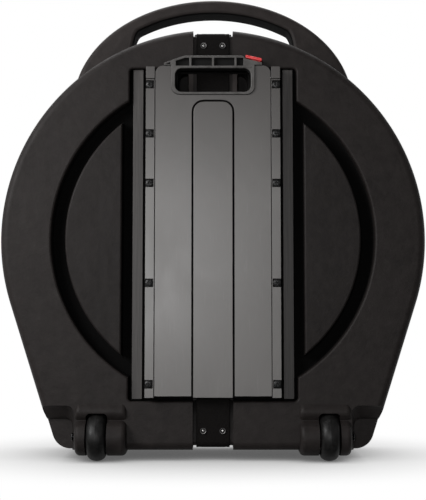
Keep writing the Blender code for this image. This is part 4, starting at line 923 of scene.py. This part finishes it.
def fine_front_shell(material):
    """The front half with the carry arch: a ring groove round a low dome, hollow with an even wall."""
    shell = body_half("front_case", *FRONT_HALF, 0.0, SEAM_GAP)
    shape_with(shell, [solid("add_arch", arch_rows())], "UNION")
    groove = wall_rows(FRONT_FACE, FRONT_FACE - 0.008, 0.003, 0.003)
    ring = ring_pocket("cut_ring", GROOVE_INNER, GROOVE_OUTER, groove)
    shape_with(shell, [solid("cut_slot", slot_rows()), ring])
    shape_with(shell, [front_dome()], "UNION")
    inside = body_half("cut_inside", *FRONT_HALF, WALL, -0.02)
    wall = wall_rows(FRONT_FACE, FRONT_FACE - 0.013, 0.0, 0.005)
    wall[:, 1] += WALL
    ring = ring_pocket("wall_ring", GROOVE_INNER, GROOVE_OUTER, wall)
    shape_with(inside, [ring, *strap_ways("wall_way", *FRONT_HALF, WALL)])
    shape_with(shell, [*strap_ways("cut_way", *FRONT_HALF), inside])
    smooth_skin(shell, material)
    keep_tone(shell, front_tone)
    stand_in(shell, "lid", "front_shell")


def softened(node, body, width, material=None, tools=()):
    """A copy of a solid whose triangles are merged and whose sharp edges are rounded, which stands for it."""
    piece = bpy.data.objects.new(node + "_fine", frame["nodes"][node].data.copy())
    bpy.context.scene.collection.objects.link(piece)
    tidy = bmesh.new()
    tidy.from_mesh(piece.data)
    bmesh.ops.remove_doubles(tidy, verts=tidy.verts, dist=1e-6)
    tidy.to_mesh(piece.data)
    for tool, operation in tools:
        shape_with(piece, [tool], operation)
    tidy.clear()
    tidy.from_mesh(piece.data)
    bmesh.ops.dissolve_limit(tidy, angle_limit=math.radians(1), verts=tidy.verts, edges=tidy.edges)
    tidy.to_mesh(piece.data)
    tidy.free()
    if material is not None:
        piece.data.materials.clear()
        piece.data.materials.append(material)
    piece.data.shade_smooth()
    piece.data.set_sharp_from_angle(angle=SHARP)
    soft = piece.modifiers.new("round_edges", "BEVEL")
    soft.width = width
    soft.segments = 3
    soft.limit_method = "ANGLE"
    soft.angle_limit = SHARP
    soft.harden_normals = True
    even = piece.modifiers.new("even_shading", "WEIGHTED_NORMAL")
    even.keep_sharp = True
    stand_in(piece, body, node)


# Trim, straps, fasteners, tyres and lining
def plate_outline(points, rows):
    """Rows (y, growth) of a closed outline, moved outwards along its mitres; corners stay sharp."""
    points = np.asarray(points, float)
    runs = np.roll(points, -1, axis=0) - points
    runs /= np.linalg.norm(runs, axis=1, keepdims=True)
    area = np.sum(points[:, 0] * np.roll(points[:, 1], -1) - np.roll(points[:, 0], -1) * points[:, 1])
    normals = math.copysign(1, area) * np.stack([runs[:, 1], -runs[:, 0]], axis=-1)
    before = np.roll(normals, 1, axis=0)
    mitre = (before + normals) / (1 + np.sum(before * normals, axis=1, keepdims=True))
    return at_depths(points + rows[:, 1, None, None] * mitre, rows[:, 0])


def grip_slope(x, drop=0.0):
    """Height of the grip's shoulder, which falls evenly from its flat top to its tip."""
    return GRIP_TOP - drop - (GRIP_TOP - GRIP_TIP) * (np.abs(x) - GRIP_FLAT) / (GRIP_TIP_X - GRIP_FLAT)


def grip_cells():
    """Cutters for the four cells between the grip's ribs, and for the small corner cell at its left tip."""
    floor = wall_rows(GRIP_FACE, GRIP_FACE + 0.006, 0.0007, 0.0006, steps=4)
    ribs = np.array([-0.0365, 0.0, 0.0365])
    starts = np.r_[-0.0600, ribs + RIB_HALF]
    ends = np.r_[ribs - RIB_HALF, 0.0492]
    top = GRIP_TOP - CELL_DROP
    cells = []
    for number, (start, end) in enumerate(zip(starts, ends)):
        cell = [(start, top - CELL_HEIGHT), (end, top - CELL_HEIGHT), (end, top), (start, top)]
        if number == 0:
            cell[3:] = [(-GRIP_FLAT, top), (start, grip_slope(start, CELL_DROP))]
        cells.append(solid(f"cut_cell_{number}", plate_outline(cell, floor)))
    corner = [(-0.0765, 0.6377), (-0.0690, 0.6377), (-0.0690, 0.6408), (-0.0765, 0.6382)]
    shallow = wall_rows(GRIP_FACE, GRIP_FACE + 0.003, 0.0, 0.0)
    return [*cells, solid("cut_corner_cell", plate_outline(corner, shallow))]


def grip_beads():
    """The row of short round bars along the finger hole's upper edge."""
    section = round_arc((GRIP_FACE + 0.0002, 0.6324), 0.0011, 0, 330, 12)
    beads = []
    for start in np.arange(-0.0447, 0.045, BEAD_PITCH):
        rows = np.empty((2, len(section), 3))
        rows[..., 0] = np.array([start + 0.0007, start + 0.0172])[:, None]
        rows[..., 1:] = section
        beads.append(solid(f"add_bead_{len(beads)}", rows))
    return beads


def fine_grip(material):
    """The grip: a frame round the finger hole, four cells above it, and room for the lever on the right."""
    low = GRIP_TOP - GRIP_HEIGHT
    tip_low = 0.6362
    seat = 0.0514
    corner_z = low + GRIP_CORNER
    outline = np.vstack([
        [(-GRIP_HALF, tip_low)],
        round_arc((-GRIP_HALF + GRIP_CORNER, corner_z), GRIP_CORNER, 180, 270, 9),
        round_arc((GRIP_HALF - GRIP_CORNER, corner_z), GRIP_CORNER, 270, 360, 9),
        [(GRIP_HALF, tip_low), (GRIP_TIP_X, tip_low)],
        [(GRIP_TIP_X, 0.6403), (seat, 0.6472), (seat, grip_slope(seat))],
        [(GRIP_FLAT, GRIP_TOP), (-GRIP_FLAT, GRIP_TOP), (-GRIP_TIP_X, GRIP_TIP), (-GRIP_TIP_X, tip_low)],
    ])
    step, inset = quarter(0.0011, 6)
    rows = np.vstack([np.stack([GRIP_FACE + step, -inset], axis=-1), [(GRIP_BACK, 0.0)]])
    grip = solid("grip", plate_outline(outline, rows))
    through = wall_rows(GRIP_FACE, GRIP_BACK + 0.02, 0.0012, 0.0)
    hole = pocket("cut_hole", (-HOLE_HALF, low + 0.004), (HOLE_HALF, GRIP_TOP - 0.0208), 0.011, through)
    hub_room = box_piece("cut_hub_room", (0.0545, LEVER_ROOM[0], 0.6350), (0.0788, LEVER_ROOM[1], 0.68))
    arm_room = box_piece("cut_arm_room", (GRIP_HALF, LEVER_ROOM[0], low), (0.0788, LEVER_ROOM[1], 0.68))
    shape_with(grip, [hole, *grip_cells(), hub_room, arm_room])
    shape_with(grip, grip_beads(), "UNION")
    smooth_skin(grip, material)
    stand_in(grip, "pull_panel", "handle_grip")


def turned_plug(name, place, radius, y_from, y_to):
    """A round bar along Y."""
    ring = place + round_arc((0, 0), radius, 0, 345, 24)
    return solid(name, at_depths([ring, ring], (y_from, y_to)))


def fine_lever(material):
    """The lever: a slim bar with rolled edges on the grip's right shoulder, its hub, and the bolt's arm."""
    bar = np.array([(0.0526, 0.6488), (0.0790, 0.6432), (0.0794, 0.6460), (0.0784, 0.6482), (0.0532, 0.6537)])
    step, inset = quarter(0.0016, 6)
    y = np.r_[-0.0991 + step, -0.0846 - step[::-1]]
    lever = solid("lever", plate_outline(bar, np.stack([y, -np.r_[inset, inset[::-1]]], axis=-1)))
    arm, arm_low = (0.0727, 0.0767), 0.6151
    stem = np.array([
        (0.0594, 0.6394), (0.0615, 0.6373), (arm[0], 0.6373), (arm[0], arm_low),
        (arm[1], arm_low), (arm[1], 0.6440), (0.0615, 0.6472),
    ])
    stem = solid("add_stem", plate_outline(stem, np.array([(-0.0927, 0.0), (-0.0855, 0.0)])))
    shape_with(lever, [stem, turned_plug("add_hub", LEVER_PIVOT, 0.0035, -0.0928, -0.0854)], "UNION")
    eye = box_piece("cut_eye", (0.0687, -0.0917, 0.6159), (0.0807, -0.0865, 0.6229))
    shape_with(lever, [eye, turned_plug("cut_pin", LEVER_PIVOT, 0.0018, -0.12, -0.07)])
    smooth_skin(lever, material)
    stand_in(lever, "lever", "release_lever")


def bolt_coil(material):
    """The bolt's spring: a wire wound about X, riding on the pull panel."""
    low, high = box_of("bolt_spring")
    wire, turns, travel = 0.0004, 3, 0.0021
    radius = (high[2] - low[2]) / 2 - wire
    share = np.linspace(0, 1, 30 * turns + 1)[:, None]
    turn = 2 * np.pi * turns * share
    around = np.linspace(0, 2 * np.pi, 10, endpoint=False)
    reach = radius + wire * np.cos(around)
    x = low[0] + wire + (high[0] - low[0] - 2 * wire) * share + wire * np.sin(around)
    y = (low[1] + high[1]) / 2 + reach * np.cos(turn)
    z = (low[2] + high[2]) / 2 + reach * np.sin(turn)
    spring = solid("bolt_coil", np.stack([x, y, z], axis=-1), material)
    stand_in(spring, "pull_panel", "bolt_spring")
    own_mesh(spring)


def softened_path(points, radius, steps=7):
    """A path of (a, b) points whose inner corners are turned in round arcs of one radius."""
    points = [np.asarray(p, float) for p in points]
    done = [points[0][None]]
    for before, corner, after in zip(points, points[1:], points[2:]):
        back = (before - corner) / np.linalg.norm(before - corner)
        on = (after - corner) / np.linalg.norm(after - corner)
        half = math.acos(float(np.clip(back @ on, -1, 1))) / 2
        reach = radius / math.tan(half)
        middle = corner + (back + on) / np.linalg.norm(back + on) * radius / math.sin(half)
        start = corner + back * reach - middle
        end = corner + on * reach - middle
        angle = math.acos(float(np.clip(start @ end / radius**2, -1, 1)))
        share = np.linspace(0, 1, steps)[:, None]
        arc = np.sin((1 - share) * angle) * start + np.sin(share * angle) * end
        done.append(middle + arc / math.sin(angle))
    return np.vstack([*done, points[-1][None]])


def lengths_along(path):
    """The length of a path up to each of its points."""
    return np.r_[0, np.cumsum(np.linalg.norm(np.diff(path, axis=0), axis=1))]


def even_path(points, step):
    """The same path with points at an even spacing, so that the weave and the shading run evenly."""
    length = lengths_along(points)
    places = np.unique(np.r_[np.arange(0, length[-1], step), length])
    places = places[np.r_[True, np.diff(places) > step * 0.15]]
    return np.stack([np.interp(places, length, points[:, way]) for way in (0, 1)], axis=-1)


def strap(name, node, body, path, material):
    """Webbing along a path of (y, z) points: its section is a flat strip with rolled edges and a low crown.

    Its UV map holds metres across and along the strap.
    """
    path = even_path(np.vstack(path), 0.006)
    along = lengths_along(path)
    way = np.gradient(path, along, axis=0)
    way /= np.linalg.norm(way, axis=1, keepdims=True)
    normal = np.stack([-way[:, 1], way[:, 0]], axis=-1)
    half = STRAP_THICK / 2
    edge = np.radians(np.linspace(-90, 90, 7))
    flat = np.linspace(-1, 1, 13)[1:-1] * (STRAP_HALF - half)
    rim = STRAP_HALF - half + half * np.cos(edge)
    across = np.r_[rim, flat[::-1], -rim, flat]
    rise = np.r_[half * np.sin(edge), np.full(11, half), half * np.sin(edge[::-1]), np.full(11, -half)]
    sewn = (np.abs(across) < 0.022) & (np.abs(across) > 0.0205)
    rise = rise - 0.0003 * np.sign(rise) * sewn
    rows = np.empty((len(path), len(across), 3))
    rows[..., 0] = across
    rows[..., 1:] = path[:, None] + rise[None, :, None] * normal[:, None]
    piece = solid(name, rows, material)
    chart = piece.data.uv_layers.new(name="weave")
    corners = np.empty(len(piece.data.loops), int)
    piece.data.loops.foreach_get("vertex_index", corners)
    flat_map = np.stack([np.tile(across, len(path)), np.repeat(along, len(across))], axis=-1)
    chart.data.foreach_set("uv", flat_map[corners].ravel())
    piece.data.set_sharp_from_angle(angle=ROUND_SHARP)
    stand_in(piece, body, node)


def bend(outward, depth, centre_z, start, end):
    """The strap's turn round a rim, a quarter circle of (y, z) points."""
    middle = SEAM + outward * (depth - EDGE)
    turn = np.radians(np.linspace(start, end, 9))
    radius = EDGE - STRAP_SINK + STRAP_LIFT
    return np.stack([middle + outward * radius * np.cos(turn), centre_z + radius * np.sin(turn)], axis=-1)


def straps(material):
    """The strap over the back and through the recess, and the two short ones on the front."""
    top_z = BODY_TOP - STRAP_SINK + STRAP_LIFT
    shallow = BASE + STRAP_BASE - STRAP_LIFT
    over = (BODY_TOP - EDGE, 90, 0)
    under = (BASE + EDGE, 0, -90)
    half = STRAP_THICK / 2
    face = BACK_FACE + STRAP_SINK - STRAP_LIFT
    deep = POCKET_FLOOR + STRAP_DEEP - STRAP_LIFT
    high, low = RECESS_TOP - STRAP_LIFT, RECESS_LOW + STRAP_LIFT
    corners = [(face, high), (deep, high), (deep, low), (face, low)]
    inside = softened_path([(face, BODY_TOP - EDGE - 0.002), *corners, (face, BASE + 0.02)], 0.003)
    ends = [(SEAM - BACK_HALF[1] + EDGE + STRAP_SINK - half, shallow), (SEAM - SEAM_GAP, shallow)]
    path = [[(SEAM - 0.004, top_z)], bend(*BACK_HALF, *over), inside[1:-1], bend(*BACK_HALF, *under), ends]
    strap("strap_over_back", "strap_back", "case", path, material)
    face = FRONT_FACE - STRAP_SINK + STRAP_LIFT
    path = [[(SEAM + 0.002, top_z)], bend(*FRONT_HALF, *over), [(face, BODY_TOP - 0.058)]]
    strap("strap_over_front", "strap_front_upper", "lid", path, material)
    ends = [(FRONT_FACE - EDGE - STRAP_SINK + half, shallow), (SEAM + SEAM_GAP, shallow)]
    path = [[(face, BASE + 0.061)], bend(*FRONT_HALF, *under), ends]
    strap("strap_under_front", "strap_front_lower", "lid", path, material)


def spun(name, profile, place, material, outward=1, shape=None, steps=40):
    """A closed pin: rings of (radius, distance) from its middle out, its face dented by a shape(x, z)."""
    turn = np.linspace(0, 2 * np.pi, steps, endpoint=False)
    radius, along = np.asarray(profile, float).T
    x = radius[:, None] * np.cos(turn)
    z = radius[:, None] * np.sin(turn)
    y = np.broadcast_to(along[:, None], x.shape).copy()
    if shape is not None:
        y -= outward * shape(x, z) * (np.arange(len(radius)) < len(radius) - 3)[:, None]
    piece = solid(name, np.stack([place[0] + x, y, place[1] + z], axis=-1), material)
    piece.data.set_sharp_from_angle(angle=ROUND_SHARP)
    return piece


def cross_recess(x, z):
    """Depth of a screw's cross: two soft grooves that end short of the head's rim."""
    reach = np.hypot(x, z)
    bars = np.maximum(np.exp(-((x / 0.0007) ** 4)), np.exp(-((z / 0.0007) ** 4)))
    return 0.0012 * bars * np.clip((0.0031 - reach) / 0.0006, 0, 1)


def rail_screw(name, material):
    """A pan-head screw: its face falls to the rim with the cube of the radius, round a cross recess."""
    low, high = box_of(name)
    place = ((low[0] + high[0]) / 2, (low[2] + high[2]) / 2)
    face, back, head = low[1], high[1], (high[0] - low[0]) / 2
    shank, under = 0.0025, face + 0.003
    radius = np.r_[np.linspace(0.0002, 0.0034, 12), 0.0042, 0.005, 0.0056, head]
    crown = np.stack([radius, face + 0.0013 * (radius / head) ** 3], axis=-1)
    profile = np.vstack([crown, [(head, under), (shank, under), (shank, back)]])
    stand_in(spun(name + "_fine", profile, place, material, -1, cross_recess), "case", name)


def rivet(name, material):
    """A tubular rivet: its rolled rim stands round a small bright middle, and its wear follows the rings."""
    low, high = box_of(name)
    place = ((low[0] + high[0]) / 2, (low[2] + high[2]) / 2)
    outward = -1 if name.startswith("rivet_back") else 1
    face, back = (low[1], high[1]) if outward < 0 else (high[1], low[1])
    head, shank, under = 0.005, 0.002, face - outward * 0.0018
    radius = np.array([0.2, 0.8, 1.4, 1.8, 2.4, 3.1, 3.5, 4.0, 4.5, 4.85, 5.0]) / 1000
    sink = np.array([0.2, 0.25, 0.5, 1.0, 1.25, 1.2, 0.7, 0.35, 0.3, 0.7, 1.2]) / 1000
    rim = np.stack([radius, face - outward * sink], axis=-1)
    profile = np.vstack([rim, [(head, under), (shank, under), (shank, back)]])
    piece = spun(name + "_fine", profile, place, material)
    shine = np.r_[1, 1, 0.8, 0.3, 0, 0, 0.05, 0.25, 0.35, 0.15, 0, 0, 0, 0]
    keep_number(piece, "worn_and_lit", np.repeat(shine, 40))
    stand_in(piece, "case" if outward < 0 else "lid", name)


def fasteners(head_material, rivet_material):
    """The rails' screws and the straps' rivets, each in the place of its solid."""
    for name in frame["nodes"]:
        if name.startswith("rail_screw_"):
            rail_screw(name, head_material)
        elif name.startswith("rivet_"):
            rivet(name, rivet_material)


def tyres(material):
    """Tyres as on skate wheels: the tread rises in a full curve between flat sides, with a mould line."""
    for word in ("left", "right"):
        low, high = box_of("tyre_" + word)
        middle, half = (low[0] + high[0]) / 2, (high[0] - low[0]) / 2
        sweep = np.radians(np.linspace(-90, 90, 41))
        x = half * np.sin(sweep)
        radius = WHEEL_RADIUS - 0.0125 * (1 - np.abs(np.cos(sweep)) ** 0.8)
        radius += 0.00025 * np.exp(-((x / 0.0006) ** 2)) - 0.00025
        side = np.array([(0.0185, half - 0.0004), (0.0173, half - 0.0012)])
        profile = np.vstack([np.stack([radius, x], axis=-1), side, side[::-1] * (1, -1)])
        profile[:, 1] += middle
        place = (AXLE_Y, WHEEL_RADIUS)
        piece = turned(f"tyre_{word}_fine", profile, place, "X", 96, material)
        stand_in(piece, "wheel_" + word, "tyre_" + word)


def pad_height(share):
    """A pad's crown: it rises steeply from its drawn-in edge and is nearly flat over the middle."""
    return np.clip(1 - (2 * share - 1) ** 6, 0, 1) ** 0.5


def foam_pads(material):
    """Round pads with a crowned, knitted face: three sewn rings draw it in, and it bulges between them."""
    pads = (("foam_pad_back", 1, "case", 0.062), ("foam_pad_front", -1, "lid", 0.0))
    for node, outward, body, hole in pads:
        low, high = box_of(node)
        reach = (high[0] - low[0]) / 2
        base, face = (low[1], high[1]) if outward > 0 else (high[1], low[1])
        thick = abs(face - base)
        start = max(hole, 0.0005)
        share = np.linspace(0, 1, 90)
        crown = pad_height(share) if hole else pad_height(0.5 + share / 2)
        for seam in (0.25, 0.5, 0.75):
            thread = np.exp(-(((share - seam) / 0.012) ** 2))
            dip = np.exp(-(((share - seam) / 0.05) ** 2))
            crown = crown * (1 - 0.38 * thread - 0.06 * dip)
        radius = start + (reach - start) * share
        profile = np.stack([radius, base + outward * thick * np.maximum(crown, 0.02)], axis=-1)
        place = (0, BODY_MIDDLE)
        if hole:
            profile = np.vstack([profile, [(reach, base), (start, base)]])
            piece = turned(node + "_knit", profile, place, "Y", 160, material)
        else:
            profile = np.vstack([profile, [(reach, base)]])
            piece = spun(node + "_knit", profile, place, material, steps=160)
        stand_in(piece, body, node)


def felts(material):
    """Felt washers whose pressed rims are rounded and whose faces dip slightly round the post."""
    for node, body in (("felt_lower", "case"), ("felt_upper", "clamp")):
        low, high = box_of(node)
        reach = (high[0] - low[0]) / 2
        half = (high[1] - low[1]) / 2
        rim = np.radians(np.linspace(-90, 90, 15))
        outer = np.stack([reach - half * 0.7 * (1 - np.cos(rim)), half * np.sin(rim)], axis=-1)
        share = np.linspace(0.7, 0.0, 8)
        radius = POST_HOLE + (reach - POST_HOLE) * share
        height = half * (1 - 0.16 * np.exp(-((share / 0.25) ** 2)))
        upper = np.stack([radius, height], axis=-1)
        profile = np.vstack([outer, upper, upper[::-1] * (1, -1)])
        profile[:, 1] += (high[1] + low[1]) / 2
        piece = turned(node + "_fine", profile, (0, BODY_MIDDLE), "Y", 80, material)
        stand_in(piece, body, node)


def window_corner(name, side):
    """What fills a square corner of the panel's window round the grip's corner."""
    play = 0.0003
    low = GRIP_TOP - GRIP_HEIGHT - play
    past = GRIP_HALF + play + 0.002
    corner = GRIP_CORNER + play
    curve = round_arc((GRIP_HALF - GRIP_CORNER, low + corner), corner, 0, -90, 9)
    around = [(GRIP_HALF - GRIP_CORNER - 0.0005, low - 0.002), (past, low - 0.002), (past, low + 0.014)]
    outline = np.vstack([curve, around])
    outline[:, 0] *= side
    return solid(name, at_depths([outline, outline], (-0.0981, -0.0931)))


def rail_cuts(side):
    """A rebate along a rail's outer side, and a shallow line across it above the first screw."""
    low, high = box_of("rail_left" if side < 0 else "rail_right")
    x = sorted((side * (abs(low[0] if side < 0 else high[0]) - 0.0014), side * 0.2))
    line_z = high[2] - 0.0205
    rebate = box_piece(f"cut_rebate_{side + 1}", (x[0], -0.12, 0.05), (x[1], -0.0705, 0.7))
    line = box_piece(f"cut_line_{side + 1}", (-0.2, -0.12, line_z), (0.2, low[1] + 0.0040, line_z + 0.0012))
    return [(rebate, "DIFFERENCE"), (line, "DIFFERENCE")]


photo_camera()
white_room()
studio_light()
pale_floor()
finishes = {
    "shell_plastic": shell_plastic(),
    "handle_plastic": handle_plastic(),
    "black_plastic": black_plastic(),
    "red_plastic": red_plastic(),
    "webbing": webbing_weave(),
    "tyre_rubber": tyre_rubber(),
    "steel": zinc_steel(),
    "black_steel": black_steel(),
    "felt": felt_wool(),
    "foam": knit_foam(),
}
dress_nodes(finishes)
fine_back_shell(finishes["shell_plastic"])
fine_front_shell(finishes["shell_plastic"])
fine_grip(grip_plastic())
straps(finishes["webbing"])
fine_lever(finishes["red_plastic"])
bolt_coil(finishes["steel"])
fasteners(black_screw(), rivet_steel())
tyres(finishes["tyre_rubber"])
foam_pads(finishes["foam"])
felts(finishes["felt"])
own_finishes = {
    "handle_tray": tray_plastic(),
    "axle_left": finishes["black_steel"],
    "axle_right": finishes["black_steel"],
}
panel_corners = [window_corner("add_corner_left", -1), window_corner("add_corner_right", 1)]
reshaped = {
    "handle_panel": [(corner, "UNION") for corner in panel_corners],
    "rail_left": rail_cuts(-1),
    "rail_right": rail_cuts(1),
}
rounded_edges = {
    "case": {
        "handle_tray": 0.0006,
        "rail_left": 0.0005,
        "rail_right": 0.0005,
        "handle_centre_tongue": 0.0006,
        "buckle_housing": 0.0016,
        "axle_left": 0.0008,
        "axle_right": 0.0008,
        "centre_post": 0.0008,
    },
    "pull_panel": {"handle_panel": 0.0006},
    "wheel_left": {"wheel_hub_left": 0.0006},
    "wheel_right": {"wheel_hub_right": 0.0006},
    "slider": {"buckle_slider": 0.0007},
    "clamp": {"clamp_disc": 0.0012},
    "nut": {"wing_nut": 0.0014},
    "lid": {"buckle_tongue": 0.001, "foot_left": 0.002, "foot_right": 0.002},
}
for body, widths in rounded_edges.items():
    for node, width in widths.items():
        softened(node, body, width, own_finishes.get(node), reshaped.get(node, ()))
bpy.context.scene.view_settings.view_transform = "Standard"
